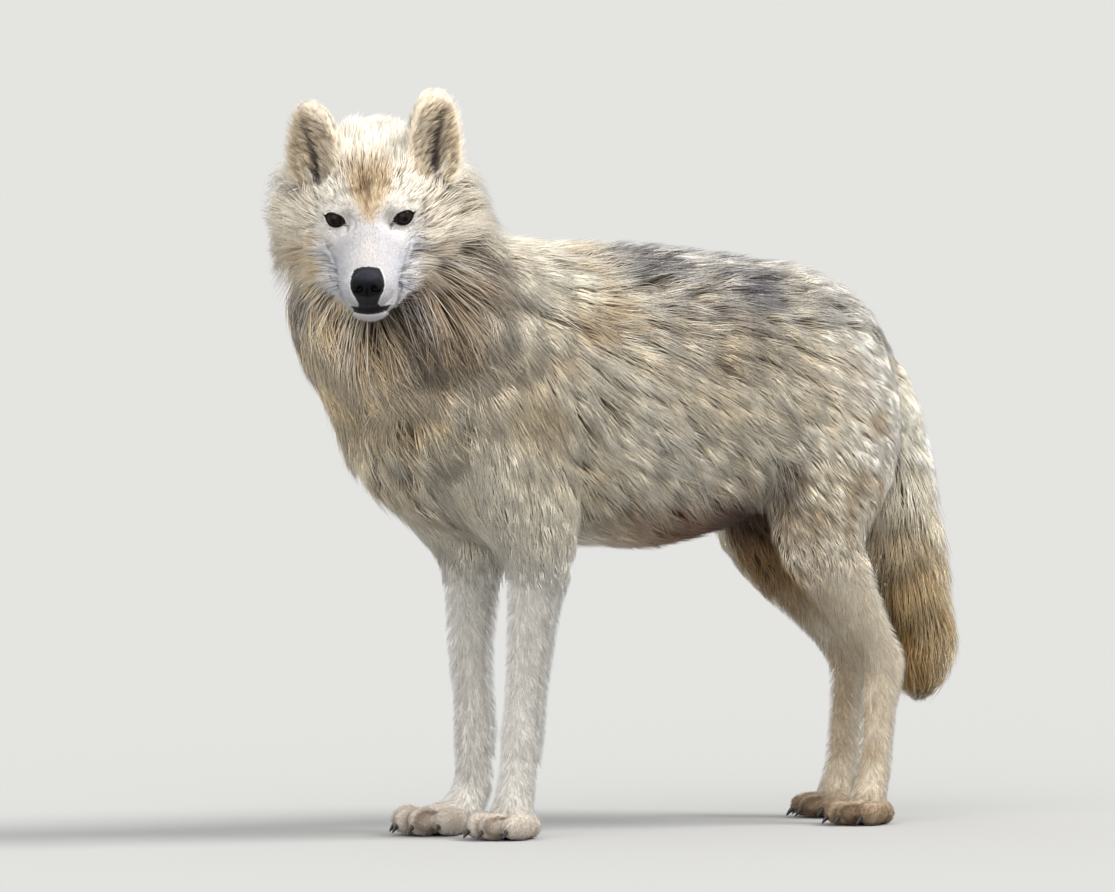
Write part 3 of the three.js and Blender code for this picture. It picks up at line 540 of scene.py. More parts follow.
# Finer skin round the eyes, lips and nose.
me = mesh_from("skin", skin_v, skin_q)
bm = bmesh.new()
bm.from_mesh(me)
for radius_eye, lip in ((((30, 1), (21, 0)))):
    bm.verts.ensure_lookup_table()
    co = np.array([x.co for x in bm.verts])
    near = np.zeros(len(co), bool)
    for s in (1, -1):
        near |= np.linalg.norm(co - (EYES[s]["c"] + EYES[s]["gaze"] * 9), axis=1) < radius_eye
    if lip:
        f, l, u = in_head(co)
        near |= (f > 12) & (np.abs(u + 76) < 15)
        near |= (f > 84) & (u < -14) & (u > -100)
    edges = [e for e in bm.edges if near[e.verts[0].index] and near[e.verts[1].index]]
    bmesh.ops.subdivide_edges(bm, edges=edges, cuts=1, use_grid_fill=True)
bmesh.ops.triangulate(bm, faces=[f for f in bm.faces if len(f.verts) > 4])
bm.to_mesh(me)
bm.free()
skin_v = np.empty(len(me.vertices) * 3)
me.vertices.foreach_get("co", skin_v)
skin_v = skin_v.reshape(-1, 3)
log("refined", len(skin_v), len(me.polygons))


def mouth_line(f, l):
    """Height of the line where the lips meet."""
    front = (0.3256 * f - 108 + 2.5 * sat(np.abs(l) / 28) ** 2) / 0.9455
    side = -86.5 + 15.0 * smooth(68, 28, f)
    k = smooth(64, 76, f)
    return front * k + side * (1 - k)


def mouth_gap(P):
    """How far a point is above (+) or below (-) the lips' meeting line, and how much the line shows there."""
    f, l, u = in_head(P)
    d = u - mouth_line(f, l)
    show = smooth(18, 34, f)
    return d, show


# Lids, lip line and the groove under the nose are pressed into the skin.
def sculpt(v):
    v = v.copy()
    for s in (1, -1):
        e = EYES[s]
        a, b, d, out = eye_local(v, s)
        r2 = a * a + b * b
        zone = (np.abs(a) < 34) & (np.abs(b) < 30) & (d > -16) & (d < 34)
        ball = np.sqrt(np.maximum(EYE_RADIUS**2 - r2, 0))
        ball = np.where(r2 > (EYE_RADIUS * 0.93) ** 2, EYE_RADIUS * 0.37 - (np.sqrt(r2) - EYE_RADIUS * 0.93) * 0.55, ball)
        lid = ball + 1.5 + 0.5 * smooth(0, 3, out) + np.where(b > 0, 1.0, 0.2) * smooth(0.3, 2.5, out)
        inner = ball - 3.2
        target = inner + (lid - inner) * smooth(-1.1, 0.35, out)
        w = 1 - smooth(3.0, 11.0, out)
        d2 = d + (target - d) * w
        # a soft fold over the upper lid and below the lower one
        fold = np.exp(-(((out - 6.5) / 1.8) ** 2)) * np.where(b > 0, 1.3, 0.7) * smooth(16, 8, np.abs(a))
        d2 = d2 - fold * (out > 0)
        v = np.where(zone[:, None], v + e["gaze"] * (d2 - d)[:, None], v)
    f, l, u = in_head(v)
    gap, show = mouth_gap(v)
    press = np.exp(-((gap / 2.0) ** 2)) * show * 2.6
    mid = head(20, 0, -66)
    inward = unit(head(70, 0, -70) - v)
    v = v + inward * press[:, None]
    lip_roll = np.exp(-(((gap - 5) / 3.0) ** 2)) * show * 0.8
    v = v - inward * lip_roll[:, None]
    groove = np.exp(-((l / 1.5) ** 2)) * smooth(100, 108, f) * (u < -50) * (u > -80) * 1.6
    v = v - HF * groove[:, None]
    return v


skin_v = sculpt(skin_v)
me.vertices.foreach_set("co", skin_v.astype(np.float32).ravel())
me.update()
me.calc_loop_triangles()
tri = np.empty(len(me.loop_triangles) * 3, np.int32)
me.loop_triangles.foreach_get("vertices", tri)
tri = tri.reshape(-1, 3)
tri_loops = np.empty(len(me.loop_triangles) * 3, np.int32)
me.loop_triangles.foreach_get("loops", tri_loops)
tri_loops = tri_loops.reshape(-1, 3)
skin_n = np.empty(len(me.vertices) * 3, np.float32)
me.vertices.foreach_get("normal", skin_n)
skin_n = skin_n.reshape(-1, 3).astype(float)

skin = bpy.data.objects.new("skin", me)
bpy.context.scene.collection.objects.link(skin)
bpy.context.view_layer.objects.active = skin
skin.select_set(True)
bpy.ops.object.mode_set(mode="EDIT")
bpy.ops.mesh.select_all(action="SELECT")
bpy.ops.uv.smart_project(angle_limit=math.radians(66), island_margin=0.002)
bpy.ops.object.mode_set(mode="OBJECT")
me.uv_layers[0].name = "OFBake"
uv = np.empty(len(me.loops) * 2)
me.uv_layers[0].data.foreach_get("uv", uv)
uv = uv.reshape(-1, 2)
skin.select_set(False)
log("unwrapped", uv.min(0), uv.max(0))

GROUPS = sorted({sh["group"] for sh in SHAPES})


def group_distances(P):
    D = {g: np.full(len(P), 300.0) for g in GROUPS}
    X, Y, Z = P[:, 0], P[:, 1], P[:, 2]
    for sh in SHAPES:
        if sh["cut"]:
            continue
        lo, hi = reach(sh, 0)
        near = np.all((P > lo - 70) & (P < hi + 70), 1)
        if near.any():
            D[sh["group"]][near] = np.minimum(D[sh["group"]][near], evaluate(sh, X[near], Y[near], Z[near], 0.0))
    return D


def shares(D, keys, width=12.0):
    best = np.min([D[k] for k in D], axis=0)
    tot = sum(np.exp(-(D[k] - best) / width) for k in D)
    return sum(np.exp(-(D[k] - best) / width) for k in keys) / tot


# ------------------------------------------------------------------ colours
def C(r, g, b):
    return np.array([r, g, b], float) / 255.0


def mix(a, b, m):
    m = np.asarray(m)
    return a + (b - a) * (m[:, None] if m.ndim else m)


def linear(c):
    c = np.clip(c, 0, 1)
    return np.where(c <= 0.04045, c / 12.92, ((c + 0.055) / 1.055) ** 2.4)


def bump1(x, c, w):
    return np.exp(-(((x - c) / w) ** 2))


def toe_gaps(P):
    """1 in the clefts between the toes, where painted shade goes."""
    out = np.zeros(len(P))
    for x, y, size, c, n in PAWS:
        dx, dy = (P[:, 0] - x) / size, (P[:, 1] - y) / size
        px, py = dx * c - dy * n, dx * n + dy * c
        near = (np.abs(px) < 48) & (py > -70) & (py < -6) & (P[:, 2] < 45)
        cleft = np.maximum(bump1(px, 0, 2.6), np.maximum(bump1(px - 0.18 * (py + 30), 21, 2.8), bump1(px + 0.18 * (py + 30), -21, 2.8)))
        out = np.maximum(out, near * cleft * smooth(-8, -24, py))
    return out


def ear_hollow(P, s):
    """How far a point is inside the ear's hollow, 0 to 1, and its place out from and up the ear."""
    e = EARS[s]
    q = P - e["hollow"]
    ax = np.cross(e["up"], e["facing"])
    k = np.sqrt((q @ ax / e["size"][0]) ** 2 + (q @ e["facing"] / e["size"][1]) ** 2 + (q @ e["up"] / e["size"][2]) ** 2)
    return smooth(1.36, 1.20, k) * (q @ e["facing"] < 3), q @ e["across"], q @ e["up"] - 9


def palette(P, N, D):
    """Colours of the coat at its root, middle and tip, in display values."""
    x, y, z = P.T
    ax = np.abs(x)
    f, l, u = in_head(P)
    al = np.abs(l)
    n1, n2, n3 = noise(P, 70, 1), noise(P, 26, 2), noise(P, 11, 3)
    one = np.ones(len(P))
    tip = C(250, 246, 236) * one[:, None]
    mid = C(240, 229, 206) * one[:, None]
    root = C(192, 170, 136) * one[:, None]
    w_head = shares(D, ["head", "muzzle", "jaw"])
    w_neck = shares(D, ["neck"])
    w_ear = shares(D, ["ear_left", "ear_right"], 6)
    w_fore = shares(D, ["foreleg_left", "foreleg_right", "paw_fore_left", "paw_fore_right"])
    w_hind = shares(D, ["hindleg_left", "hindleg_right", "paw_hind_left", "paw_hind_right"])
    w_paw = shares(D, ["paw_fore_left", "paw_fore_right", "paw_hind_left", "paw_hind_right"], 6)
    w_tail = shares(D, ["tail"])
    # warm and brown patches over the body
    tip = mix(tip, C(234, 218, 188), sat((n1 - 0.5) * 2.2) * 0.7)
    mid = mix(mid, C(208, 184, 146), sat((n1 - 0.45) * 2.0) * 0.7)
    streak = sat((n2 - 0.56) * 4.0)
    mid = mix(mid, C(172, 148, 116), streak * 0.6)
    tip = mix(tip, C(212, 194, 164), streak * 0.4)
    ribs = bump1(y, -150, 120) * bump1(z, 640, 55) * sat((n2 - 0.3) * 2.4)
    tip = mix(tip, C(222, 202, 168), ribs * 0.6)
    mid = mix(mid, C(182, 156, 118), ribs * 0.8)
    root = mix(root, C(140, 114, 84), ribs * 0.7)
    # pale lower flank
    pale = bump1(y, -60, 110) * bump1(z, 470, 75) * smooth(40, 100, ax)
    tip = mix(tip, C(247, 243, 234), pale * 0.8)
    mid = mix(mid, C(230, 221, 202), pale * 0.6)
    # grizzled saddle: black-tipped hairs among white ones, in short streaks along the lie
    along = np.stack([x, y * 0.42 + z * 0.2, z + y * 0.3], 1)
    fleck = sat((noise(along, 9.0, 5) - 0.49) * 9.0)
    broad = noise(P, 55, 6)
    sad = smooth(-190, -110, y) * smooth(175, 70, y) * smooth(606, 668, z + 14 * (broad - 0.5))
    croup = smooth(40, 130, y) * smooth(250, 180, y) * smooth(600, 650, z) * 0.62
    zone = sat(np.maximum(sad, croup) * (0.55 + 0.75 * broad))
    tip = mix(tip, C(240, 240, 240), zone * 0.7)
    mid = mix(mid, C(206, 202, 196), zone * 0.7)
    sad = zone * fleck
    tip = mix(tip, C(74, 76, 88), sat(sad * 1.1))
    mid = mix(mid, C(104, 102, 108), sat(sad * 1.0))
    low = bump1(y, 15, 75) * bump1(z, 592, 40) * fleck * 0.7
    tip = mix(tip, C(104, 88, 74), low)
    mid = mix(mid, C(126, 108, 90), low)
    # shoulder and side-of-neck browns
    nb = bump1(x, -116, 62) * bump1(y, -420, 70) * bump1(z, 636, 50)
    sb = bump1(y, -250, 90) * bump1(z, 590, 70) * smooth(60, 100, ax) * 0.55
    br = sat(nb * 1.25 * (0.45 + 0.9 * n2) + sb * 0.3 * sat((n2 - 0.35) * 2.6))
    tip = mix(tip, C(112, 97, 84), br * 0.8)
    mid = mix(mid, C(120, 102, 84), br * 0.9)
    root = mix(root, C(78, 63, 52), br)
    # throat and chest: tan gaps under cream locks, golden at the right cheek
    chest = w_neck * smooth(-380, -440, y) * smooth(740, 680, z)
    tip = mix(tip, C(240, 224, 190), chest * sat((n2 - 0.3) * 2) * 0.6)
    mid = mix(mid, C(212, 178, 124), chest * 0.75)
    root = mix(root, C(184, 154, 108), chest * 0.85)
    gold = w_neck * smooth(-420, -470, y) * smooth(20, -20, l) * smooth(640, 690, z) * smooth(800, 760, z)
    tip = mix(tip, C(236, 212, 166), gold * 0.7)
    mid = mix(mid, C(206, 172, 116), gold * 0.8)
    root = mix(root, C(164, 130, 82), gold * 0.8)
    # pale nape and crown edge
    nape = w_neck * smooth(700, 780, z)
    tip = mix(tip, C(250, 247, 240), nape * 0.85)
    mid = mix(mid, C(238, 231, 218), nape * 0.75)
    root = mix(root, C(206, 192, 170), nape * 0.7)
    # the rear of the body near white: partly its own cream, partly painted light on the lit rump
    behind = smooth(110, 215, y) * (1 - w_tail)
    tip = mix(tip, C(252, 250, 245), behind * 0.9)
    mid = mix(mid, C(246, 241, 231), behind * 0.85)
    root = mix(root, C(218, 206, 184), behind * 0.85)
    # head: cream crown and cheeks, browner towards the ruff below
    hw = sat(w_head * 1.2)
    drop = 0.3256 * f - 0.9455 * u
    tip = mix(tip, C(238, 234, 226), hw)
    mid = mix(mid, C(229, 222, 209), hw)
    root = mix(root, C(218, 207, 190), hw)
    low_cheek = hw * smooth(10, 40, drop)
    low_cheek = low_cheek * smooth(-1.5, 0.2, -l / 60)
    tip = mix(tip, C(232, 212, 172), low_cheek * (0.35 + 0.5 * n2))
    mid = mix(mid, C(198, 166, 118), low_cheek * (0.4 + 0.55 * n3))
    root = mix(root, C(150, 118, 80), low_cheek * 0.8)
    # painted shade: the sides of the head, far from the midline, greyer
    flank = hw * smooth(58, 84, al) * smooth(-70, -30, drop)
    tip = mix(tip, C(218, 210, 196), flank * 0.65)
    mid = mix(mid, C(200, 188, 168), flank * 0.65)
    # white mask over the muzzle, cheeks and under the eyes, sharp below
    wide = np.interp(drop, [-40, -20, 0, 25, 49, 74, 86, 98.5, 106, 114.5, 122, 126], [30, 52, 68, 65, 60, 56, 54, 48, 40, 29, 19, 4])
    edge = 3 + 10 * smooth(30, -10, drop)
    wide = wide + 5 * smooth(0, 30, drop)
    mask = smooth(edge, -edge, al - wide) * smooth(-92, -70, f) * smooth(-34, -12, drop) * hw
    mask = np.maximum(mask, hw * smooth(20, 40, f) * smooth(5, -5, al - wide))
    fore = smooth(-10, 40, f)[:, None]
    tip = mix(tip, C(224, 221, 218) * (1 - fore) + C(193, 192, 195) * fore, mask * 0.96)
    mid = mix(mid, C(216, 212, 208) * (1 - fore) + C(188, 186, 189) * fore, mask * 0.96)
    root = mix(root, C(204, 198, 192) * (1 - fore) + C(186, 183, 184) * fore, mask * 0.95)
    # painted shade: bluish grey on the sides of the muzzle below the eyes
    muzzle_side_shade = mask * smooth(24, 40, al) * smooth(26, 50, drop) * smooth(108, 90, drop)
    tip = mix(tip, C(184, 192, 214), muzzle_side_shade * 0.36)
    mid = mix(mid, C(176, 180, 198), muzzle_side_shade * 0.36)
    # tan forehead, widest above and closing between the eyes, with darker streaks
    span_ = np.interp(drop, [-92, -76, -58, -40, -22, -8, 2], [8, 24, 29, 26, 16, 8, 2])
    tan = hw * smooth(9, -9, np.abs(l - 1) - span_) * smooth(6, -6, drop) * smooth(-96, -64, drop)
    tip = mix(tip, C(206, 186, 154), tan * 0.85)
    mid = mix(mid, C(184, 160, 126), tan * 0.85)
    core = smooth(6, -8, np.abs(l - 1) - span_ * 0.62) * smooth(0, -12, drop) * smooth(-74, -54, drop) * hw
    dark = core * sat((noise(np.stack([l * 1.0 + 0.25 * np.abs(drop), f * 0.4, drop * 0.45], 1), 6.5, 8) - 0.40) * 3.6)
    tip = mix(tip, C(138, 110, 78), dark * 0.85)
    mid = mix(mid, C(124, 98, 68), dark * 0.85)
    # bridge of the nose faintly tan, greyer above the inner corners of the eyes
    bridge = hw * smooth(14, 4, al) * bump1(drop, 30, 18)
    tip = mix(tip, C(226, 214, 194), bridge * 0.45)
    grey = bump1(al, 26, 6.0) * bump1(drop, -12, 10) * hw * (f > -40)
    tip = mix(tip, C(150, 146, 136), grey * 0.6)
    mid = mix(mid, C(140, 134, 124), grey * 0.6)
    q = 0.574 * x + 0.819 * y
    under_cheek = bump1(q, -312, 50) * bump1(z, 652, 48) * smooth(10, 50, x) * smooth(0.6, 0.2, mask) * (1 - w_ear)
    under_cheek = sat(under_cheek * 1.7 * (0.25 + 1.1 * n2))
    tip = mix(tip, C(146, 124, 100), under_cheek * 0.85)
    mid = mix(mid, C(104, 83, 64), under_cheek * 0.95)
    root = mix(root, C(74, 58, 46), under_cheek)
    # ears: pale rim and back, grey-tan hair inside, and painted shade: a dark line down the hollow where its fold lies
    # in shade
    we = sat(w_ear * 1.3 - 0.1)
    tip = mix(tip, C(236, 230, 217), we * 0.9)
    mid = mix(mid, C(228, 217, 198), we * 0.9)
    root = mix(root, C(212, 196, 172), we * 0.9)
    for s in (1, -1):
        inside, qo, qu = ear_hollow(P, s)
        inside = inside * we
        line = np.interp(qu, [-45, -25, 0, 20, 45], [-6, -3, 4, 8, 9])
        half = np.interp(qu, [-45, -25, 0, 20, 45], [5.5, 4.6, 3.0, 1.8, 1.0])
        # painted shade of the fold inside the ear
        fold = inside * smooth(half * 1.5, half * 0.5, np.abs(qo - line)) * np.interp(qu, [-60, -45, 0, 20, 45], [0.6, 1, 0.85, 0.6, 0.2])
        tone = sat(0.35 + 1.1 * (n3 - 0.2))
        tip = mix(tip, mix(C(238, 224, 198) * one[:, None], C(204, 188, 162), tone), inside * 0.92)
        mid = mix(mid, mix(C(222, 206, 178) * one[:, None], C(184, 166, 140), tone), inside * 0.95)
        root = mix(root, C(160, 142, 118), inside * 0.95)
        tip = mix(tip, C(64, 50, 44), fold * 0.95)
        mid = mix(mid, C(46, 34, 32), fold)
        root = mix(root, C(32, 24, 24), fold)
    # legs
    wf = w_fore * smooth(560, 400, z)
    cold = smooth(400, 300, z)
    tip = mix(tip, mix(C(249, 244, 232) * one[:, None], C(240, 238, 234), cold), wf)
    mid = mix(mid, mix(C(240, 231, 212) * one[:, None], C(229, 226, 220), cold), wf)
    root = mix(root, mix(C(204, 186, 154) * one[:, None], C(202, 196, 186), cold), wf)
    wh = w_hind * smooth(470, 330, z)
    tip = mix(tip, C(246, 239, 226), wh)
    mid = mix(mid, C(232, 220, 200), wh)
    root = mix(root, C(196, 178, 152), wh)
    shin = wh * smooth(0.1, -0.6, N[:, 1]) * sat((n2 - 0.3) * 2)
    tip = mix(tip, C(178, 156, 124), shin * 0.55)
    mid = mix(mid, C(160, 136, 104), shin * 0.55)
    # thigh: brown streaks, and painted shade darkening the crease at the flank fold
    th = w_hind * smooth(330, 400, z) * smooth(60, 90, ax)
    tk = th * sat((noise(P * [1, 1, 0.5], 18, 9) - 0.52) * 4)
    tip = mix(tip, C(186, 164, 132), tk * 0.5)
    mid = mix(mid, C(160, 136, 102), tk * 0.6)
    fold_shade = bump1(y, 98, 13) * bump1(z, 440, 42) * smooth(60, 90, ax) * sat(n3 * 1.6)
    tip = mix(tip, C(66, 54, 46), fold_shade * 0.85)
    mid = mix(mid, C(70, 56, 46), fold_shade * 0.9)
    root = mix(root, C(44, 34, 30), fold_shade)
    # inside of the hind legs, groin and belly: tan to reddish-brown, with painted shade darkening faces turned toward
    # the other leg and higher up toward the groin
    inward = -np.sign(x) * N[:, 0]
    inner = sat(w_hind + 0.4) * smooth(0.0, 0.5, inward) * smooth(70, 110, y) * smooth(560, 470, z) * smooth(230, 330, z)
    deep = smooth(330, 420, z)
    tip = mix(tip, mix(C(166, 130, 78) * one[:, None], C(66, 40, 26), deep), inner * 0.9)
    mid = mix(mid, mix(C(140, 104, 58) * one[:, None], C(56, 34, 22), deep), inner * 0.9)
    root = mix(root, C(58, 38, 24), inner * 0.9)
    # belly underside: reddish-brown, with painted shade on faces turned down, darker towards the hind legs
    under = smooth(-0.2, -0.65, N[:, 2]) * smooth(460, 410, z) * (1 - w_fore) * (1 - w_hind)
    bare = under * smooth(-190, -40, y)
    tip = mix(tip, mix(C(176, 140, 108) * one[:, None], C(92, 54, 36), smooth(-80, 40, y)), bare * 0.9)
    mid = mix(mid, mix(C(158, 118, 90) * one[:, None], C(78, 42, 28), smooth(-80, 40, y)), bare * 0.9)
    root = mix(root, C(98, 58, 40), bare * 0.9)
    # paws: painted shade in the clefts between the toes; low on the paws, dust mixed with painted ground shadow,
    # heaviest on the hind paws
    hindp = smooth(0, 100, y)
    part = toe_gaps(P) * w_paw
    tip = mix(tip, C(96, 76, 58), part * 0.8)
    mid = mix(mid, C(70, 54, 42), part * 0.9)
    root = mix(root, C(46, 36, 30), part)
    # dust and painted ground shadow, darker near the floor and on the hind paws
    dust_and_shadow = w_paw * smooth(44, 8, z) * sat(0.15 + 1.2 * (n3 - 0.25)) * (0.35 + 0.65 * hindp)
    dust_and_shadow = sat(dust_and_shadow + w_paw * hindp * smooth(60, 20, z) * 0.55)
    tip = mix(tip, C(116, 92, 67), dust_and_shadow * 0.9)
    mid = mix(mid, C(96, 75, 54), dust_and_shadow * 0.9)
    fw = w_paw * (1 - hindp)
    tip = mix(tip, C(196, 187, 176), fw * 0.6)
    mid = mix(mid, C(184, 174, 162), fw * 0.6)
    root = mix(root, C(120, 98, 74), w_paw * 0.5)
    # tail: cream, golden-brown inside and low
    wt = w_tail * smooth(600, 560, z)
    tip = mix(tip, C(252, 248, 238), wt)
    mid = mix(mid, C(242, 233, 214), wt)
    root = mix(root, C(206, 186, 154), wt)
    inner = sat(0.5 + 0.5 * smooth(0.75, 0.1, N[:, 0] * 0.35 + N[:, 1] * 0.93))
    gold = w_tail * smooth(450 + 60 * (n2 - 0.5), 250, z) * inner * smooth(150, 190, z) * (0.75 + 0.25 * n2)
    tip = mix(tip, C(160, 118, 46), gold * 0.9)
    mid = mix(mid, C(122, 82, 22), gold)
    root = mix(root, C(84, 54, 14), gold)
    return root, mid, tip


def lip_dark(P):
    """Bare black skin: lips, the strip under the nose and the eye rims."""
    f, l, u = in_head(P)
    gap, show = mouth_gap(P)
    front = smooth(56, 76, f)
    thick = 1.2 + front * (3.9 - 2.9 * sat(np.abs(l) / 30) ** 1.5)
    lips = smooth(thick + 0.9, thick - 0.5, np.abs(gap - 1.2 * front)) * smooth(34, 56, f)
    strip = smooth(1.0, -1.0, np.abs(l) - np.interp(-u, [46, 54, 62, 72, 80], [18, 15, 12, 13, 20])) * smooth(86, 92, f) * (u < -46) * (u > -81)
    rim = 0
    for s in (1, -1):
        a, b, d, out = eye_local(P, s)
        near = (d > -14) & (d < 26) & (np.abs(a) < 26) & (np.abs(b) < 22)
        tear = smooth(2.4, 0.9, np.abs(b + 1.0 + 0.35 * (-a - 12))) * smooth(-24, -18, a) * smooth(-9, -12, a)
        wing = smooth(2.0, 0.8, np.abs(b - 0.2 - 0.10 * (a - 11))) * smooth(19, 14, a) * smooth(9, 12, a) * 0.8
        rim = np.maximum(rim, near * np.maximum(smooth(2.6, 1.2, out), np.maximum(tear, wing)))
    return sat(lips), sat(strip), sat(rim)


# ------------------------------------------------------------------ where hair grows and how it lies
TAIL_LINE = np.array([r[1:4] for r in TAIL], float)


def tail_way(P):
    k = np.clip(np.searchsorted(-TAIL_LINE[:, 2], -P[:, 2]) - 1, 0, len(TAIL_LINE) - 2)
    d = unit(TAIL_LINE[k + 1] - TAIL_LINE[k])
    c = TAIL_LINE[k] + (TAIL_LINE[k + 1] - TAIL_LINE[k]) * sat((P[:, 2] - TAIL_LINE[k, 2]) / (TAIL_LINE[k + 1, 2] - TAIL_LINE[k, 2]))[:, None]
    return d, unit(P - c)


def lie(P, N, D):
    """The way the hair lies at each root: along the skin, from nose to tail and down the limbs."""
    x, y, z = P.T
    f, l, u = in_head(P)
    s = np.sign(x)[:, None]
    n = len(P)

    def one(v):
        return np.tile(unit(v), (n, 1))

    ways = {}
    drop = smooth(700, 560, z)[:, None]
    ways["trunk"] = unit(one((0, 1, -0.12)) * (1 - drop) + one((0, 0.78, -0.62)) * drop + smooth(-0.5, -0.9, N[:, 2])[:, None] * V(0, 0.6, 0))
    front = smooth(0.2, -0.7, N[:, 1])[:, None]
    ways["neck"] = unit(one((0, 0.62, -0.78)) * (1 - front) + (one((0, 0.1, -1.0)) + s * V(0.12, 0, 0)) * front)
    away = unit(P - head(150, 0, -34))
    ruff = (smooth(-30, -90, f) * smooth(20, 50, np.abs(l)) + smooth(-35, -80, u) * smooth(20, -40, f))[:, None]
    face = unit(away + HU * (smooth(20, -30, f) * smooth(0, 30, u) * smooth(50, 10, np.abs(l)) * 0.5)[:, None]
                + HL * (np.clip(l / 45, -1, 1) * smooth(-6, 26, u) * smooth(20, -20, f) * 0.45)[:, None])
    face = unit(face * (1 - ruff * 0.75) + (one((0, 0.25, -1)) + HL * np.sign(l)[:, None] * 0.6 - HF * 0.5) * ruff * 0.75)
    ways["head"] = ways["muzzle"] = face
    ways["jaw"] = unit(face + V(0, 0, -0.25))
    for side, sg in (("left", 1), ("right", -1)):
        e = EARS[sg]
        q = P - e["base"]
        ways["ear_" + side] = unit(e["up"] * 1.0 + e["across"] * np.clip(q @ e["across"] / 40, -0.5, 0.5)[:, None] - HF * 0.15)
        ways["foreleg_" + side] = unit(one((0, 0.18, -1)) + s * V(0.05, 0, 0))
        hi = smooth(300, 420, z)[:, None]
        ways["hindleg_" + side] = unit(one((0, 0.22, -1)) * (1 - hi) + one((0, 0.60, -0.85)) * hi)
        ways["paw_fore_" + side] = ways["paw_hind_" + side] = unit(one((0, -1, -0.55)))
    d, out = tail_way(P)
    ways["tail"] = unit(d + out * 0.15)
    best = np.min([D[k] for k in D], axis=0)
    way = sum(ways[k] * np.exp(-(D[k] - best) / 16.0)[:, None] for k in D)
    way = way - N * np.sum(way * N, 1, keepdims=True)
    return unit(way)


VD = group_distances(skin_v)
log("groups")
UV_TEMPLATE_SIZE = 0.003


def region_of(P, D):
    keys = ["trunk", "neck", "head", "ear", "leg", "haunch", "paw", "tail"]
    z = P[:, 2] + 90 * (noise(P, 16, 12) - 0.5)
    get = lambda *n: np.min([D[k] for k in n], axis=0)
    hind, fore = get("hindleg_left", "hindleg_right"), get("foreleg_left", "foreleg_right")
    d = np.stack([
        D["trunk"], D["neck"], get("head", "muzzle", "jaw"), get("ear_left", "ear_right"),
        np.where(z < 340, np.minimum(hind, fore), 400), np.where(z >= 340, np.minimum(hind, fore), 400),
        get("paw_fore_left", "paw_fore_right", "paw_hind_left", "paw_hind_right") - 2, D["tail"],
    ])
    return d.argmin(0), keys


corner = skin_v[tri]
area = 0.5 * np.linalg.norm(np.cross(corner[:, 1] - corner[:, 0], corner[:, 2] - corner[:, 0]), axis=1)
mid_p = corner.mean(1)
mid_n = unit(np.cross(corner[:, 1] - corner[:, 0], corner[:, 2] - corner[:, 0]))
TD = {k: VD[k][tri].mean(1) for k in GROUPS}
t_region, REGIONS = region_of(mid_p, TD)
R = {k: i for i, k in enumerate(REGIONS)}
t_depth = np.maximum(-OUTER(mid_p), 2.0)


def no_hair(P):
    f, l, u = in_head(P)
    bare = (f > 94) & ((l / 22.0) ** 2 + ((u + 39) / 22.5) ** 2 < 1)
    for s in (1, -1):
        a, b, d, out = eye_local(P, s)
        bare |= (out < 2.0) & (d > -14) & (d < 24)
    lips, strip, rim = lip_dark(P)
    bare |= (lips > 0.2) | (strip > 0.4)
    bare |= P[:, 2] < 2.5
    return bare


# Hairs to each square millimetre, region by region: finest on the face and feet.
DENSITY = dict(trunk=0.093, neck=0.138, head=0.42, ear=0.40, leg=0.200, haunch=0.090, paw=0.30, tail=0.24)
dens = np.array([DENSITY[k] for k in REGIONS])[t_region]
f, l, u = in_head(mid_p)
deep_head = (t_region == R["head"])
dens = np.where(deep_head, 0.25 + 0.45 * smooth(22, 8, t_depth) + 0.45 * smooth(10, 45, f), dens)
dens = np.where((t_region == R["leg"]) & (t_depth > 9), DENSITY["leg"] * 9 / t_depth, dens)
drop = 0.3256 * f - 0.9455 * u
wide = np.interp(drop, [-40, -20, 0, 25, 49, 74, 86, 98.5, 106, 114.5, 122, 126], [30, 52, 66, 62, 56, 52, 49, 44, 36, 25, 15, 2])
t_soft = deep_head * np.maximum(smooth(10, -4, np.abs(l) - wide) * smooth(-80, -60, f), smooth(-72, -52, f) * smooth(-70, -50, drop) * smooth(20, 4, drop) * smooth(86, 72, np.abs(l)))
dens = np.maximum(dens, 0.44 * t_soft)
dens[no_hair(mid_p)] = 0
want = dens * area
log("hairs wanted by region", {k: (int(want[t_region == i].sum()), round(float(area[t_region == i].sum()) / 1e4)) for k, i in R.items()})
count = np.floor(want + rng.rand(len(want))).astype(int)
who = np.repeat(np.arange(len(tri)), count)
r1, r2 = np.sqrt(rng.rand(len(who))), rng.rand(len(who))
bary = np.stack([1 - r1, r1 * (1 - r2), r1 * r2], 1)


def at_roots(vals):
    c = vals[tri[who]]
    return np.einsum("nk,nk...->n...", bary, c)


ROOT = at_roots(skin_v)
NORM = unit(at_roots(skin_n))
UVR = np.einsum("nk,nkd->nd", bary, uv[tri_loops[who]])
keep = ~no_hair(ROOT)
ROOT, NORM, UVR, who, bary = ROOT[keep], NORM[keep], UVR[keep], who[keep], bary[keep]
RD = {k: at_roots(VD[k]) for k in GROUPS}
REG = t_region[who]
DEPTH = np.maximum(-OUTER(ROOT), 2.0)
WAY = lie(ROOT, NORM, RD)
log("roots", len(ROOT))
REACH = DEPTH * (1.55 + 0.45 * smooth(8, 25, DEPTH)) + 2 + 8 * smooth(8, 25, DEPTH)
RISE = NORM * (DEPTH * (REG == R["head"]))[:, None]
P_ROOT = palette(ROOT + RISE * 0.3, NORM, RD)[0]
P_MID = palette(ROOT + RISE * 0.6 + WAY * (REACH * 0.25)[:, None], NORM, RD)[1]
P_TIP = palette(ROOT + RISE * 0.8 + WAY * (REACH * 0.55)[:, None], NORM, RD)[2]
log("palette")

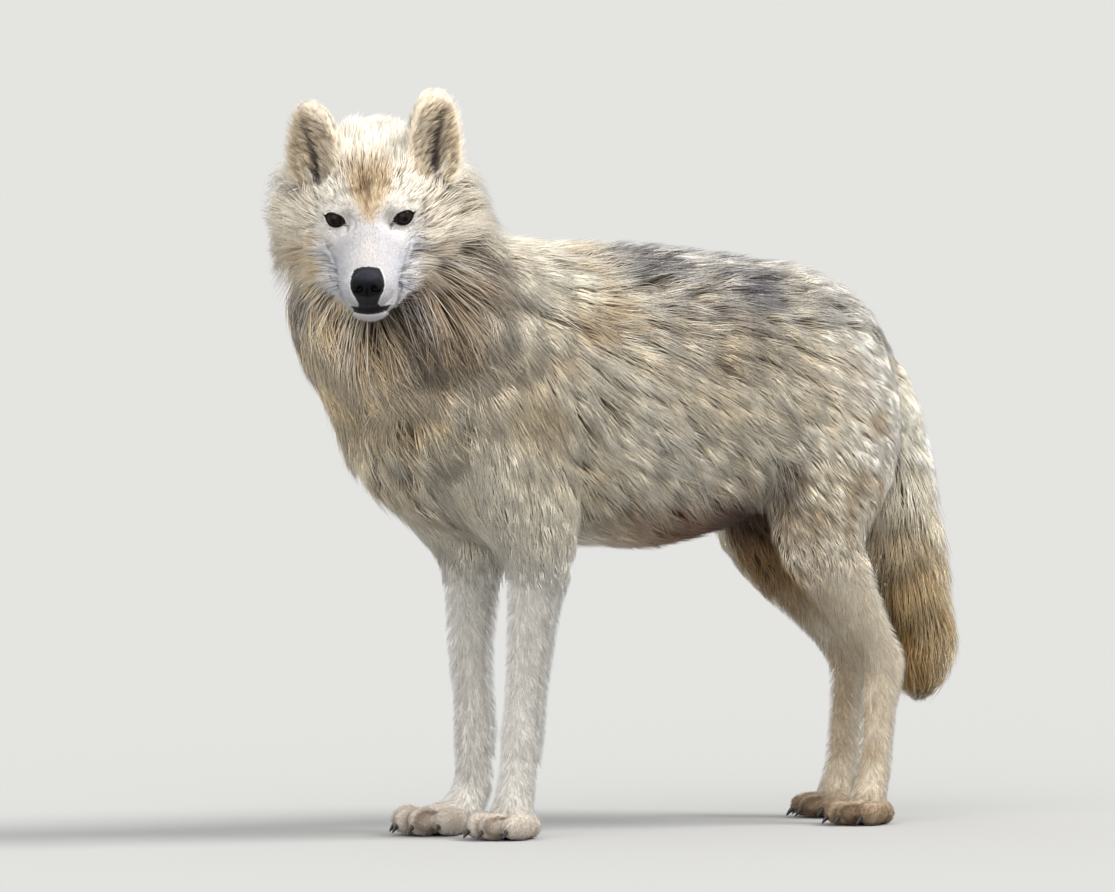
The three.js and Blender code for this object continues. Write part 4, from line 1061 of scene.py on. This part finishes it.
f, l, u = in_head(ROOT)
drop = 0.3256 * f - 0.9455 * u
wide = np.interp(drop, [-40, -20, 0, 25, 49, 74, 86, 98.5, 106, 114.5, 122, 126], [30, 52, 66, 62, 56, 52, 49, 44, 36, 25, 15, 2])
on_mask = (REG == R["head"]) * smooth(8, -6, np.abs(l) - wide) * smooth(-100, -76, f)
on_top = (REG == R["head"]) * smooth(-6, 14, u) * (1 - on_mask)
near_lips = smooth(11, 4, np.abs(u - mouth_line(f, l) - 1)) * smooth(40, 60, f) * (REG == R["head"])
near_nose = smooth(118, 100, f) * smooth(86, 96, f) * smooth(32, 22, np.abs(l)) * (u > -64)
brow = (REG == R["head"]) * smooth(-92, -70, f) * smooth(-76, -56, drop) * smooth(24, 6, drop) * smooth(92, 74, np.abs(l))
SOFT = np.maximum(on_mask, brow * 0.8)
P_ROOT = mix(P_ROOT, P_MID, 0.75 * SOFT)
SHORT = (1 - 0.50 * on_mask - 0.42 * on_top) * (1 - 0.5 * np.maximum(near_lips, near_nose))

# Extra reach beyond the usual depth of the coat: inside the ears and behind the forelegs.
FLUFF = np.zeros(len(ROOT))
LONGER = np.zeros(len(ROOT))
for s in (1, -1):
    inside, qo, qu = ear_hollow(ROOT, s)
    inside = (inside > 0.5) & (REG == R["ear"])
    FLUFF[inside] = 5.5
    LONGER[inside] = 9.0
    e = EARS[s]
    w = unit(e["across"] * 0.75 + e["up"] * 0.65 + e["facing"] * 0.1)
    w = w - NORM[inside] * (NORM[inside] @ w)[:, None]
    WAY[inside] = unit(w)
cheek = (REG == R["head"]) & (DEPTH > 12)
fh, lh, uh = in_head(ROOT)
FLUFF[cheek] = (7.5 * smooth(12, 20, DEPTH) * smooth(40, 62, np.abs(lh)) * smooth(40, 0, uh))[cheek]
fringe = (REG == R["leg"]) & (ROOT[:, 1] < 0) * (NORM[:, 1] > 0.25) * (ROOT[:, 2] > 110)
FLUFF[fringe] = 5.0
LONGER[fringe] = 9.0

# Locks: neighbouring hairs lean to a shared lock, which has its own direction, length and shade.
LOCK_GAP = dict(trunk=16, neck=20, head=7, ear=7, leg=6, haunch=11, paw=5, tail=15)
gap = np.array([LOCK_GAP[k] for k in REGIONS], float)[REG]
gap = np.where((REG == R["head"]), 4.5 + 0.24 * DEPTH - 0.08 * DEPTH * on_top, gap)
lock_of = np.full(len(ROOT), -1)
seeds = []
for i, k in enumerate(REGIONS):
    mine = np.flatnonzero(REG == i)
    if not len(mine):
        continue
    g = gap[mine]
    per = DENSITY[k] * g.mean() ** 2 * 1
    pick = mine[rng.rand(len(mine)) < 1.0 / np.maximum(dens[who[mine]] * gap[mine] ** 2, 1.0)]
    if len(pick) < 2:
        pick = mine[:2]
    base = len(seeds)
    tree = kdtree.KDTree(len(pick))
    for j, p in enumerate(ROOT[pick]):
        tree.insert(p, j)
    tree.balance()
    pts = ROOT[mine] + rng.normal(0, 1.0, (len(mine), 3)) * g[:, None] * 0.12
    near = np.fromiter((tree.find(p)[1] for p in pts), int, len(mine))
    lock_of[mine] = base + near
    seeds.extend(pick.tolist())
seeds = np.array(seeds)
S = seeds[lock_of]
L_RAND = rng.rand(len(seeds), 6)[lock_of]
log("locks", len(seeds))


def spin(v, axis, angle):
    c, s = np.cos(angle)[:, None], np.sin(angle)[:, None]
    return v * c + np.cross(axis, v) * s + axis * np.sum(axis * v, 1, keepdims=True) * (1 - c)


COAT = []
ORIGIN_MM = None


def grow(name, pick, K, width, slot_name, turn=0.20, clump=0.75, lift=(0.84, 1.08), wave=0.0, long=1.0, vary=0.22, lock_edge_shade=0.22):
    """Tapered three-sided hairs, closed at the root, K rings long, as one mesh."""
    n = len(pick)
    r = np.random.RandomState(sum(map(ord, name)))
    P0, N0 = ROOT[pick], NORM[pick]
    c = DEPTH[pick]
    lr = L_RAND[pick]
    seed = S[pick]
    lane = spin(WAY[seed] * 0.55 + WAY[pick] * 0.45, N0, ((lr[:, 0] - 0.5) * 2 * turn + r.normal(0, turn * 0.28, n)) * (1 - 0.6 * SOFT[pick]))
    lane = unit(lane)
    length = c * (1.55 + 0.45 * smooth(8, 25, c)) + 2 + 8 * smooth(8, 25, c)
    guard = r.rand(n) < 0.07
    length = length * (0.82 + 0.34 * lr[:, 1]) * (0.86 + 0.22 * r.rand(n)) * long * SHORT[pick] + LONGER[pick]
    height = lift[0] + (lift[1] - lift[0]) * np.clip(0.6 * lr[:, 2] + 0.4 * r.rand(n) + 0.08 * r.normal(0, 1, n), 0, 1.12)
    height = np.where(guard, height * 1.07, height)
    off = P0 - ROOT[seed]
    off = off * (1 - 0.85 * SOFT[pick])[:, None]
    off = off - lane * np.sum(off * lane, 1, keepdims=True) * 0.55
    off = off * np.minimum(1, 1.6 * gap[pick] / np.maximum(np.linalg.norm(off, axis=1), 1e-6))[:, None]
    steps = [i / K for i in range(1, K + 1)]
    Q = P0 - N0 * np.minimum(2.0, c * 0.25)[:, None]
    pts = [Q.copy()]
    side_dirs, outs = [], [N0.copy()]
    g = N0.copy()
    prev = 0.0
    Q = P0.copy()
    way = lane
    phase = lr[:, 3] * 6.283
    for t in steps:
        way = unit(lane - g * np.sum(lane * g, 1, keepdims=True))
        Q = Q + way * (length * (t - prev))[:, None]
        Q = Q - off * (clump * (t**1.3 - prev**1.3))
        h = (1 - (1 - t) ** 2) * height
        goal = -c * (1 - h) + FLUFF[pick] * t
        for _ in range(2):
            g = OUTER.slope(Q, 4.0 if K > 1 else 2.5)
            d = np.clip(OUTER(Q) - goal, -26, 26)
            Q = Q - g * d[:, None]
        if wave:
            side = np.cross(way, g)
            Q = Q + side * (wave * np.sin(phase + t * 5.0) * t)[:, None]
        Q[:, 2] = np.maximum(Q[:, 2], 0.5)
        pts.append(Q.copy())
        outs.append(g.copy())
        prev = t
    w0 = width * (0.75 + 0.5 * r.rand(n)) * np.where(guard, 0.7, 1.0)
    verts = np.empty((n, 3 * K + 1, 3))
    vt = np.empty(3 * K + 1)
    for i in range(K):
        t = i / K
        ahead = unit(pts[i + 1] - pts[i])
        side = unit(np.cross(ahead, outs[i]))
        up = np.cross(side, ahead)
        w = (w0 * (1.0, 0.92, 0.66)[i if K == 3 else (0, 2)[i] if K == 2 else 0])[:, None]
        verts[:, 3 * i] = pts[i] - side * w * 0.5
        verts[:, 3 * i + 1] = pts[i] + side * w * 0.5
        verts[:, 3 * i + 2] = pts[i] + up * w * 0.5
        vt[3 * i:3 * i + 3] = t
    verts[:, -1] = pts[K]
    vt[-1] = 1.0
    verts[:, :, 2] = np.maximum(verts[:, :, 2], 0.3)
    # faces of one hair, then repeated
    loops, sizes, temp = [], [], []
    for i in range(K - 1):
        for j in range(3):
            j2 = (j + 1) % 3
            loops += [3 * i + j, 3 * i + j2, 3 * i + 3 + j2, 3 * i + 3 + j]
            sizes.append(4)
            temp += [(j / 3, i / K), ((j + 1) / 3, i / K), ((j + 1) / 3, (i + 1) / K), (j / 3, (i + 1) / K)]
    top = 3 * (K - 1)
    for j in range(3):
        j2 = (j + 1) % 3
        loops += [top + j, top + j2, 3 * K]
        sizes.append(3)
        temp += [(j / 3, (K - 1) / K), ((j + 1) / 3, (K - 1) / K), ((j + 0.5) / 3, 1.0)]
    loops += [2, 1, 0]
    sizes.append(3)
    temp += [(0.0, 0.0), (0.3, 0.0), (0.15, 0.25)]
    loops, sizes, temp = np.array(loops), np.array(sizes), np.array(temp)
    per = 3 * K + 1
    me = bpy.data.meshes.new(name)
    me.vertices.add(n * per)
    me.vertices.foreach_set("co", ((verts.reshape(-1, 3) - ORIGIN_MM) / 1000).astype(np.float32).ravel())
    all_loops = (loops[None, :] + (np.arange(n) * per)[:, None]).astype(np.int32)
    me.loops.add(all_loops.size)
    me.loops.foreach_set("vertex_index", all_loops.ravel())
    starts = np.concatenate([[0], np.cumsum(sizes)[:-1]])
    all_starts = (starts[None, :] + (np.arange(n) * len(loops))[:, None]).astype(np.int32)
    me.polygons.add(all_starts.size)
    me.polygons.foreach_set("loop_start", all_starts.ravel())
    me.polygons.foreach_set("use_smooth", np.ones(all_starts.size, bool))
    layer = me.uv_layers.new(name="OFBake")
    centre = np.clip(UVR[pick], 0.0016, 0.9984)
    coords = centre[:, None, :] + (temp[None] - 0.5) * UV_TEMPLATE_SIZE
    layer.data.foreach_set("uv", coords.astype(np.float32).ravel())
    # colour from root to tip, with the lock's random tone and painted shade that darkens hairs towards the edge of
    # their lock
    rim_of_lock = sat(np.linalg.norm(off, axis=1) / (0.75 * gap[pick]))
    shade = (1.0 + vary * (1 - 0.7 * SOFT[pick]) * (lr[:, 4] - 0.55)) * (0.93 + 0.12 * r.rand(n)) * (1.06 - lock_edge_shade * rim_of_lock**2)
    cr, cm, ct = P_ROOT[pick], P_MID[pick], P_TIP[pick]
    swap = (r.rand(n) < 0.16)[:, None]
    ct = np.where(swap, cm, ct)
    cols = np.ones((n, per, 4), np.float32)
    for i in range(per):
        t = vt[i]
        if K == 1:
            col = cr * 0.35 + cm * 0.65 if t < 0.5 else ct
        else:
            col = cr + (cm - cr) * smooth(0.0, 0.42, t)
            col = col + (ct - col) * smooth(0.38, 0.95, t)
        cols[:, i, :3] = linear(col * shade[:, None])
    me.update(calc_edges=True)
    attr = me.color_attributes.new("Col", "FLOAT_COLOR", "POINT")
    attr.data.foreach_set("color", cols.ravel())
    ob = bpy.data.objects.new(name, me)
    bpy.context.scene.collection.objects.link(ob)
    me.materials.append(MAT[slot_name])
    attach(ob, "root")
    COAT.append(ob)
    tris = n * (6 * (K - 1) + 4)
    log(name, n, "hairs", tris, "triangles")
    if tris >= 200000:
        raise SystemExit("%s has %d triangles" % (name, tris))
    return ob


# ------------------------------------------------------------------ materials
def material(name, rough=0.75, spec=0.25, sheen=0.0, colour=None, bumps=(), vary=0.0, coat=0.0):
    m = bpy.data.materials.new(name)
    m.use_nodes = True
    nt = m.node_tree
    b = nt.nodes["Principled BSDF"]
    b.inputs["Roughness"].default_value = rough
    b.inputs["Specular IOR Level"].default_value = spec
    b.inputs["Sheen Weight"].default_value = sheen
    b.inputs["Sheen Roughness"].default_value = 0.5
    b.inputs["Coat Weight"].default_value = coat
    b.inputs["Coat Roughness"].default_value = 0.06
    if colour is not None:
        b.inputs["Base Color"].default_value = (*linear(np.array(colour) / 255.0), 1)
    else:
        a = nt.nodes.new("ShaderNodeAttribute")
        a.attribute_name = "Col"
        out = a.outputs["Color"]
        if vary:
            tex = nt.nodes.new("ShaderNodeTexNoise")
            tex.inputs["Scale"].default_value = 260
            co = nt.nodes.new("ShaderNodeTexCoord")
            nt.links.new(co.outputs["Object"], tex.inputs["Vector"])
            ramp = nt.nodes.new("ShaderNodeMapRange")
            ramp.inputs["To Min"].default_value = 1 - vary
            ramp.inputs["To Max"].default_value = 1 + vary
            nt.links.new(tex.outputs["Fac"], ramp.inputs["Value"])
            mul = nt.nodes.new("ShaderNodeVectorMath")
            mul.operation = "SCALE"
            nt.links.new(out, mul.inputs[0])
            nt.links.new(ramp.outputs["Result"], mul.inputs["Scale"])
            out = mul.outputs["Vector"]
        nt.links.new(out, b.inputs["Base Color"])
    last = None
    for kind, scale, strength, dist in bumps:
        tex = nt.nodes.new("ShaderNodeTexVoronoi" if kind == "voronoi" else "ShaderNodeTexNoise")
        tex.inputs["Scale"].default_value = scale
        co = nt.nodes.new("ShaderNodeTexCoord")
        nt.links.new(co.outputs["Object"], tex.inputs["Vector"])
        bp = nt.nodes.new("ShaderNodeBump")
        bp.inputs["Strength"].default_value = strength
        bp.inputs["Distance"].default_value = dist
        nt.links.new(tex.outputs["Distance" if kind == "voronoi" else "Fac"], bp.inputs["Height"])
        if last:
            nt.links.new(last.outputs["Normal"], bp.inputs["Normal"])
        last = bp
    if last:
        nt.links.new(last.outputs["Normal"], b.inputs["Normal"])
    return m


MAT = {s: material("coat_" + s, rough=0.72, spec=0.22, sheen=0.10, vary=0.06)
       for s in ("body_fur", "ruff_fur", "face_fur", "ear_fur", "leg_fur", "paw_fur", "tail_fur")}
SKIN_MAT = material("skin", rough=0.7, spec=0.2, vary=0.10, bumps=(("noise", 900, 0.6, 0.001),))
EYE_MAT = material("wet_eye", rough=0.10, spec=0.10, coat=0.03)
NOSE_MAT = material("nose_leather", rough=0.5, spec=0.09, coat=0.0, bumps=(("voronoi", 1100, 0.8, 0.0006),))
CLAW_MAT = material("claw_horn", rough=0.38, spec=0.5, bumps=(("noise", 1400, 0.3, 0.0003),))
WHISKER_MAT = material("whisker", rough=0.4, spec=0.5)

# ------------------------------------------------------------------ into the part's frame
lo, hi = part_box("eye_left")
eye_mid = 500 * V(*(lo[k] + hi[k] for k in range(3)))
ORIGIN_MM = head(-8, 41, 0) - eye_mid
log("origin", ORIGIN_MM.round(3))


def to_part(v):
    return (np.asarray(v, float) - ORIGIN_MM) / 1000.0


def set_colours(me, cols):
    attr = me.color_attributes.new("Col", "FLOAT_COLOR", "POINT")
    rgba = np.ones((len(cols), 4), np.float32)
    rgba[:, :3] = linear(cols)
    attr.data.foreach_set("color", rgba.ravel())


def piece(name, v, faces, cols, mat, replaces=()):
    me = mesh_from(name, to_part(v), faces)
    me.polygons.foreach_set("use_smooth", np.ones(len(me.polygons), bool))
    set_colours(me, cols)
    me.materials.append(mat)
    ob = bpy.data.objects.new(name, me)
    bpy.context.scene.collection.objects.link(ob)
    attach(ob, "root")
    if replaces:
        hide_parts(*replaces)
    return ob


# Skin: the same markings as the coat, darker between the hairs, bare and dark at lips, lids and pads.
cr, cm, ct = palette(skin_v, skin_n, VD)
skin_col = cr * 0.45 + cm * 0.45 + ct * 0.10
head_close = sat(1 - VD["muzzle"] / 20)
skin_col = mix(skin_col, cm * 0.6 + ct * 0.4, head_close * 0.6)
lips, strip, rim = lip_dark(skin_v)
skin_col = mix(skin_col, C(22, 20, 23), np.maximum(lips, strip))
skin_col = mix(skin_col, C(20, 15, 14), rim)
f, l, u = in_head(skin_v)
around = (f > 94) & ((l / 21.0) ** 2 + ((u + 39) / 21.0) ** 2 < 1)
skin_col = np.where(around[:, None], C(28, 26, 28), skin_col)
sole = smooth(5.5, 2.5, skin_v[:, 2])
skin_col = mix(skin_col, C(44, 38, 36), sole)
me.vertices.foreach_set("co", to_part(skin_v).astype(np.float32).ravel())
me.polygons.foreach_set("use_smooth", np.ones(len(me.polygons), bool))
set_colours(me, skin_col)
me.materials.append(SKIN_MAT)
me.update()
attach(skin, "root")
flesh = [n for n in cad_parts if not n.startswith(("eye_", "nose"))]
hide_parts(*flesh)

# ------------------------------------------------------------------ eyes
for s, node in ((1, "eye_left"), (-1, "eye_right")):
    e = EYES[s]
    th = np.concatenate([np.linspace(0, 0.95, 46), np.linspace(1.0, math.pi, 26)])
    seg = 72
    ring = np.arange(seg) / seg * 2 * math.pi
    T, A = np.meshgrid(th[1:-1], ring, indexing="ij")
    rad = EYE_RADIUS - 0.15 + 0.75 * np.exp(-((T / 0.50) ** 4))
    p = (e["gaze"] * (np.cos(T) * rad)[..., None] + e["r"] * (np.sin(T) * np.cos(A) * rad)[..., None] + e["u"] * (np.sin(T) * np.sin(A) * rad)[..., None])
    v = np.concatenate([[e["gaze"] * (EYE_RADIUS + 0.6)], p.reshape(-1, 3), [-e["gaze"] * (EYE_RADIUS - 0.15)]]) + e["c"]
    rows = len(th) - 2
    q = []
    for i in range(rows - 1):
        a = 1 + i * seg + np.arange(seg)
        b = 1 + i * seg + (np.arange(seg) + 1) % seg
        q.append(np.stack([a, a + seg, b + seg, b], 1))
    q = np.concatenate(q)
    caps = [(0, 1 + j, 1 + (j + 1) % seg) for j in range(seg)]
    last = 1 + (rows - 1) * seg
    caps += [(len(v) - 1, last + (j + 1) % seg, last + j) for j in range(seg)]
    tris = np.concatenate([q[:, [0, 1, 2]], q[:, [0, 2, 3]], np.array(caps)])
    d = v - e["c"]
    ang = np.arccos(np.clip(d @ e["gaze"] / np.linalg.norm(d, axis=1), -1, 1))
    az = np.arctan2(d @ e["u"], d @ e["r"])
    streak = 0.5 + 0.5 * np.sin(az * 37 + 3 * np.sin(az * 11)) * np.sin(az * 23 + 1)
    iris = mix(C(38, 22, 15) * np.ones((len(v), 1)), C(20, 12, 9), streak)
    iris = mix(iris, C(14, 9, 7), smooth(0.52, 0.74, ang))
    col = mix(C(5, 4, 4) * np.ones((len(v), 1)), iris, smooth(0.24, 0.30, ang))
    col = mix(col, C(10, 7, 6), smooth(0.70, 0.78, ang))
    col = mix(col, C(58, 44, 36), smooth(0.88, 1.0, ang))
    piece("eyeball_" + ("left" if s > 0 else "right"), v, tris, col, EYE_MAT, (node,))

# ------------------------------------------------------------------ nose
step = 1.0
g1 = np.arange(-26, 26.1, step)
A1, B1, C1 = np.meshgrid(g1, g1, g1, indexing="ij")


def blob(c, r):
    q = [(A1 - c[0]) / r[0], (B1 - c[1]) / r[1], (C1 - c[2]) / r[2]]
    k0 = np.sqrt(q[0] ** 2 + q[1] ** 2 + q[2] ** 2) + 1e-9
    k1 = np.sqrt((q[0] / r[0]) ** 2 + (q[1] / r[1]) ** 2 + (q[2] / r[2]) ** 2) + 1e-9
    return np.where(k0 < 0.3, (k0 - 1) * min(r), k0 * (k0 - 1) / k1)


F = blob((-1, 0, 2), (13.5, 18.5, 14))
for s in (1, -1):
    F = smin(F, blob((1.5, 11.5 * s, -2.5), (10, 9, 9.5)), 5)
F = smin(F, blob((1, 0, -7), (10.5, 11, 8.5)), 4)
F = smin(F, blob((-9, 0, 0), (8, 19, 15)), 4)
for s in (1, -1):
    F = -smin(-F, blob((12, 8.6 * s, -1.5), (7.5, 3.6, 4.6)), 1.6)
    F = -smin(-F, blob((8.5, 14.5 * s, -5.0), (6.5, 6.2, 1.5)), 1.2)
    F = -smin(-F, blob((2.0, 19.5 * s, -6.8), (7, 3.0, 1.3)), 1.2)
F = -smin(-F, blob((13, 0, -10), (4.2, 0.9, 12)), 1.4)
v, q = surface_nets(F, [g1, g1, g1])
v = relax(v, q, np.full(len(v), 0.35), 3)
# painted shade: the inside of the nostrils darker than the leather
deep = np.zeros(len(v))
for s in (1, -1):
    deep = np.maximum(deep, smooth(1.35, 0.95, np.sqrt(((v[:, 0] - 12) / 7.5) ** 2 + ((v[:, 1] - 8.6 * s) / 3.6) ** 2 + ((v[:, 2] + 1.5) / 4.6) ** 2)))
col = mix(C(11, 11, 14) * np.ones((len(v), 1)), C(2, 2, 2), deep)
# painted highlight: a bluish sheen along the top of the nose
col = mix(col, C(58, 62, 76), smooth(5, 13, v[:, 2]) * 0.5)
world = head(112, 0, -38) + v[:, :1] * HF + v[:, 1:2] * HL + v[:, 2:3] * HU
if np.linalg.det(np.stack([HF, HL, HU])) < 0:
    q = q[:, ::-1]
piece("nose_leather", world, q, col, NOSE_MAT, ("nose",))

# ------------------------------------------------------------------ claws
cv, cf, cc = [], [], []
for root, way, *small in CLAWS:
    k = small[0] if small else 1.0
    down = V(0, 0, -1) - way * (V(0, 0, -1) @ way)
    down = unit(down)
    side = np.cross(way, down)
    rows, seg = 9, 12
    base = len(cv)
    for i in range(rows):
        t = i / (rows - 1)
        cpt = root + way * (17.0 * t * k - 4.0) + down * (4.2 * t * t * k)
        ahead = unit(way * 17 + down * 8.4 * t)
        up = unit(np.cross(ahead, side))
        r = 4.1 * k**0.5 * (1 - t) ** 0.62 + 0.25
        for j in range(seg):
            a = j / seg * 2 * math.pi
            cv.append(cpt + side * math.cos(a) * r * 0.72 + up * math.sin(a) * r)
            cc.append(mix(C(70, 56, 46), C(30, 25, 24), sat(t * 1.4)))
    for i in range(rows - 1):
        for j in range(seg):
            a, b = base + i * seg + j, base + i * seg + (j + 1) % seg
            cf.append((a, b, b + seg, a + seg))
    cv.append(root + way * -4.6)
    cc.append(C(70, 56, 46))
    cv.append(cv[base + (rows - 1) * seg] * 0.5 + cv[base + (rows - 1) * seg + seg // 2] * 0.5 + ahead * 0.5)
    cc.append(C(30, 25, 24))
    for j in range(seg):
        cf.append((base + (j + 1) % seg, base + j, len(cv) - 2, len(cv) - 2))
        cf.append((base + (rows - 1) * seg + j, base + (rows - 1) * seg + (j + 1) % seg, len(cv) - 1, len(cv) - 1))
cf = np.array(cf)
tris = np.concatenate([cf[:, [0, 1, 2]], cf[cf[:, 2] != cf[:, 3]][:, [0, 2, 3]]])
cv = np.array(cv)
cv[:, 2] = np.maximum(cv[:, 2], 0.4)
claws = piece("claws", cv, tris, np.array(cc), CLAW_MAT)
bm = bmesh.new()
bm.from_mesh(claws.data)
bmesh.ops.recalc_face_normals(bm, faces=bm.faces)
bm.to_mesh(claws.data)
bm.free()

# ------------------------------------------------------------------ whiskers
wr = np.random.RandomState(5)
wv, wf, wc = [], [], []


def bristle(p, way, droop, length, r0, colour, rows=7):
    base = len(wv)
    for i in range(rows):
        t = i / (rows - 1)
        cpt = p + way * length * t + droop * length * t * t
        ahead = unit(way + droop * 2 * t)
        a1 = unit(np.cross(ahead, V(0.3, 0.2, 1)))
        a2 = np.cross(ahead, a1)
        r = r0 * (1 - t) ** 0.7 + 0.03
        for j in range(4):
            a = j * math.pi / 2
            wv.append(cpt + a1 * math.cos(a) * r + a2 * math.sin(a) * r)
            wc.append(colour)
    for i in range(rows - 1):
        for j in range(4):
            a, b = base + i * 4 + j, base + i * 4 + (j + 1) % 4
            wf.append((a, b, b + 4, a + 4))
    wf.append((base + 3, base + 2, base + 1, base))
    e = base + (rows - 1) * 4
    wf.append((e, e + 1, e + 2, e + 3))


for s in (1, -1):
    for row in range(4):
        for k in range(4):
            f0, u0 = 88 - 9 * k - 2 * row, -38 - 6.0 * row
            P = head(f0, s * 60, u0)[None]
            tr = np.linspace(62, 14, 60)
            line = np.array([head(f0, s * t, u0) for t in tr])
            inside = Field(axes0, F0)(line) < 0
            if not inside.any():
                continue
            p = line[inside.argmax()]
            way = unit(HL * s * (0.62 + 0.1 * wr.rand()) - HF * (0.66 + 0.12 * k) - HU * (0.02 + 0.16 * row) + HL * 0)
            bristle(p - way * 2, way, V(0, 0, -0.10 - 0.10 * wr.rand()), 34 + 24 * wr.rand(), 0.34,
                    C(52, 46, 44) if (row + k) % 3 else C(214, 206, 196))
wv, wf = np.array(wv), np.array(wf)
piece("whiskers", wv, wf, np.array(wc), WHISKER_MAT)

# ------------------------------------------------------------------ the coat
def chunks(pick, K, order):
    limit = 196000 // (6 * (K - 1) + 4)
    pick = pick[np.argsort(order[pick], kind="stable")]
    n = max(1, math.ceil(len(pick) / limit))
    return np.array_split(pick, n)


everyone = np.arange(len(ROOT))
deep = DEPTH + 7 * (noise(ROOT, 9, 14) - 0.5) > 13
# the lock edge setting in each row is painted shade: hairs at the edges of a lock are darker
plan = [
    ("back_coat", REG == R["trunk"], 2, 1.6, "body_fur", dict(turn=0.27, wave=1.2, clump=0.88, vary=0.15, lock_edge_shade=0.34)),
    ("haunch_coat", REG == R["haunch"], 2, 1.6, "body_fur", dict(turn=0.26, wave=1.0, clump=0.52, vary=0.10, lock_edge_shade=0.18, long=1.15)),
    ("neck_ruff", REG == R["neck"], 3, 1.45, "ruff_fur", dict(turn=0.42, wave=3.4, clump=0.85, vary=0.18, lock_edge_shade=0.34, long=0.92)),
    ("tail_brush", REG == R["tail"], 3, 1.3, "tail_fur", dict(turn=0.26, wave=2.4, lift=(0.8, 1.12))),
    ("cheek_ruff", (REG == R["head"]) & deep, 2, 1.1, "face_fur", dict(turn=0.46, wave=1.2, clump=0.66, lift=(0.80, 1.12), vary=0.16, lock_edge_shade=0.10, long=0.84)),
    ("face_hair", (REG == R["head"]) & ~deep, 1, 0.62, "face_fur", dict(turn=0.14, clump=0.40, lift=(0.6, 1.0), vary=0.10, lock_edge_shade=0.06)),
    ("ear_hair", REG == R["ear"], 1, 0.75, "ear_fur", dict(turn=0.20, clump=0.5, long=1.15, lift=(0.7, 1.05), vary=0.14)),
    ("leg_hair", (REG == R["leg"]) & (DEPTH <= 13), 1, 0.95, "leg_fur", dict(turn=0.10, clump=0.28, lift=(0.82, 1.06), long=1.1, vary=0.10, lock_edge_shade=0.08)),
    ("upper_leg_hair", (REG == R["leg"]) & (DEPTH > 13), 2, 1.2, "leg_fur", dict(turn=0.16, clump=0.5, vary=0.14)),
    ("paw_hair", REG == R["paw"], 1, 0.75, "paw_fur", dict(turn=0.16, clump=0.3, long=1.1, vary=0.12, lock_edge_shade=0.06)),
]
total = 0
for name, mask, K, width, slot_name, extra in plan:
    pick = everyone[mask]
    if not len(pick):
        continue
    parts = chunks(pick, K, ROOT[:, 1])
    for i, part in enumerate(parts):
        grow(name if len(parts) == 1 else "%s_%d" % (name, i + 1), part, K, width, slot_name, **extra)
        total += len(part) * (6 * (K - 1) + 4)
log("coat triangles", total)

# ------------------------------------------------------------------ floor, light, camera
scene = bpy.context.scene
PALE = (0.36, 0.36, 0.355)
fm = bpy.data.meshes.new("floor")
fm.from_pydata([(-150, -150, 0), (150, -150, 0), (150, 150, 0), (-150, 150, 0)], [], [(0, 1, 2, 3)])
floor = bpy.data.objects.new("floor", fm)
scene.collection.objects.link(floor)
mat = bpy.data.materials.new("floor_paper")
mat.use_nodes = True
b = mat.node_tree.nodes["Principled BSDF"]
b.inputs["Base Color"].default_value = (*PALE, 1)
b.inputs["Roughness"].default_value = 0.9
b.inputs["Specular IOR Level"].default_value = 0.0
fm.materials.append(mat)
floor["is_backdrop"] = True

world = bpy.data.worlds.new("studio")
world.use_nodes = True
world.node_tree.nodes["Background"].inputs["Color"].default_value = (0.97, 0.985, 1.0, 1)
world.node_tree.nodes["Background"].inputs["Strength"].default_value = 1.0
scene.world = world


def sun(name, az, el, strength, angle, colour=(1, 1, 1)):
    data = bpy.data.lights.new(name, "SUN")
    data.energy = strength
    data.angle = math.radians(angle)
    data.color = colour
    ob = bpy.data.objects.new(name, data)
    a, e = math.radians(az), math.radians(el)
    way = Vector((math.sin(a) * math.cos(e), -math.cos(a) * math.cos(e), math.sin(e)))
    ob.rotation_euler = way.to_track_quat("Z", "Y").to_euler()
    ob.location = way * 5
    scene.collection.objects.link(ob)


sun("sky_key", 136, 50, 3.5, 26, (1.0, 0.975, 0.94))
sun("soft_fill", 34, 34, 1.9, 60, (1.0, 0.985, 0.965))

AZ, EL, DIST = math.radians(55), math.radians(2.5), 26.0
right = Vector((math.cos(AZ), math.sin(AZ), 0))
back = Vector((math.sin(AZ) * math.cos(EL), -math.cos(AZ) * math.cos(EL), math.sin(EL)))
up = back.cross(right)
target = right * ((557.5 - 677) / 800) + up * ((828 - 446) / 800)
cam_data = bpy.data.cameras.new("camera")
cam = bpy.data.objects.new("camera", cam_data)
cam_data.sensor_width = 36
cam_data.lens = 36 * DIST / (1115 / 800)
cam_data.clip_start = 1.0
cam_data.clip_end = 600
place = target + back * DIST - Vector(ORIGIN_MM / 1000)
cam.location = place
m = np.stack([np.array(right), np.array(up), np.array(back)], 1)
from mathutils import Matrix
cam.rotation_euler = Matrix(m.tolist()).to_euler()
scene.collection.objects.link(cam)
scene.camera = cam
scene.view_settings.view_transform = "Standard"
scene.view_settings.look = "None"
scene.view_settings.exposure = 0.0

low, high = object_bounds()
log("size", [round(h - l, 4) for l, h in zip(low, high)], "cad", [round(h - l, 4) for l, h in zip(CAD_LOW, CAD_HIGH)])
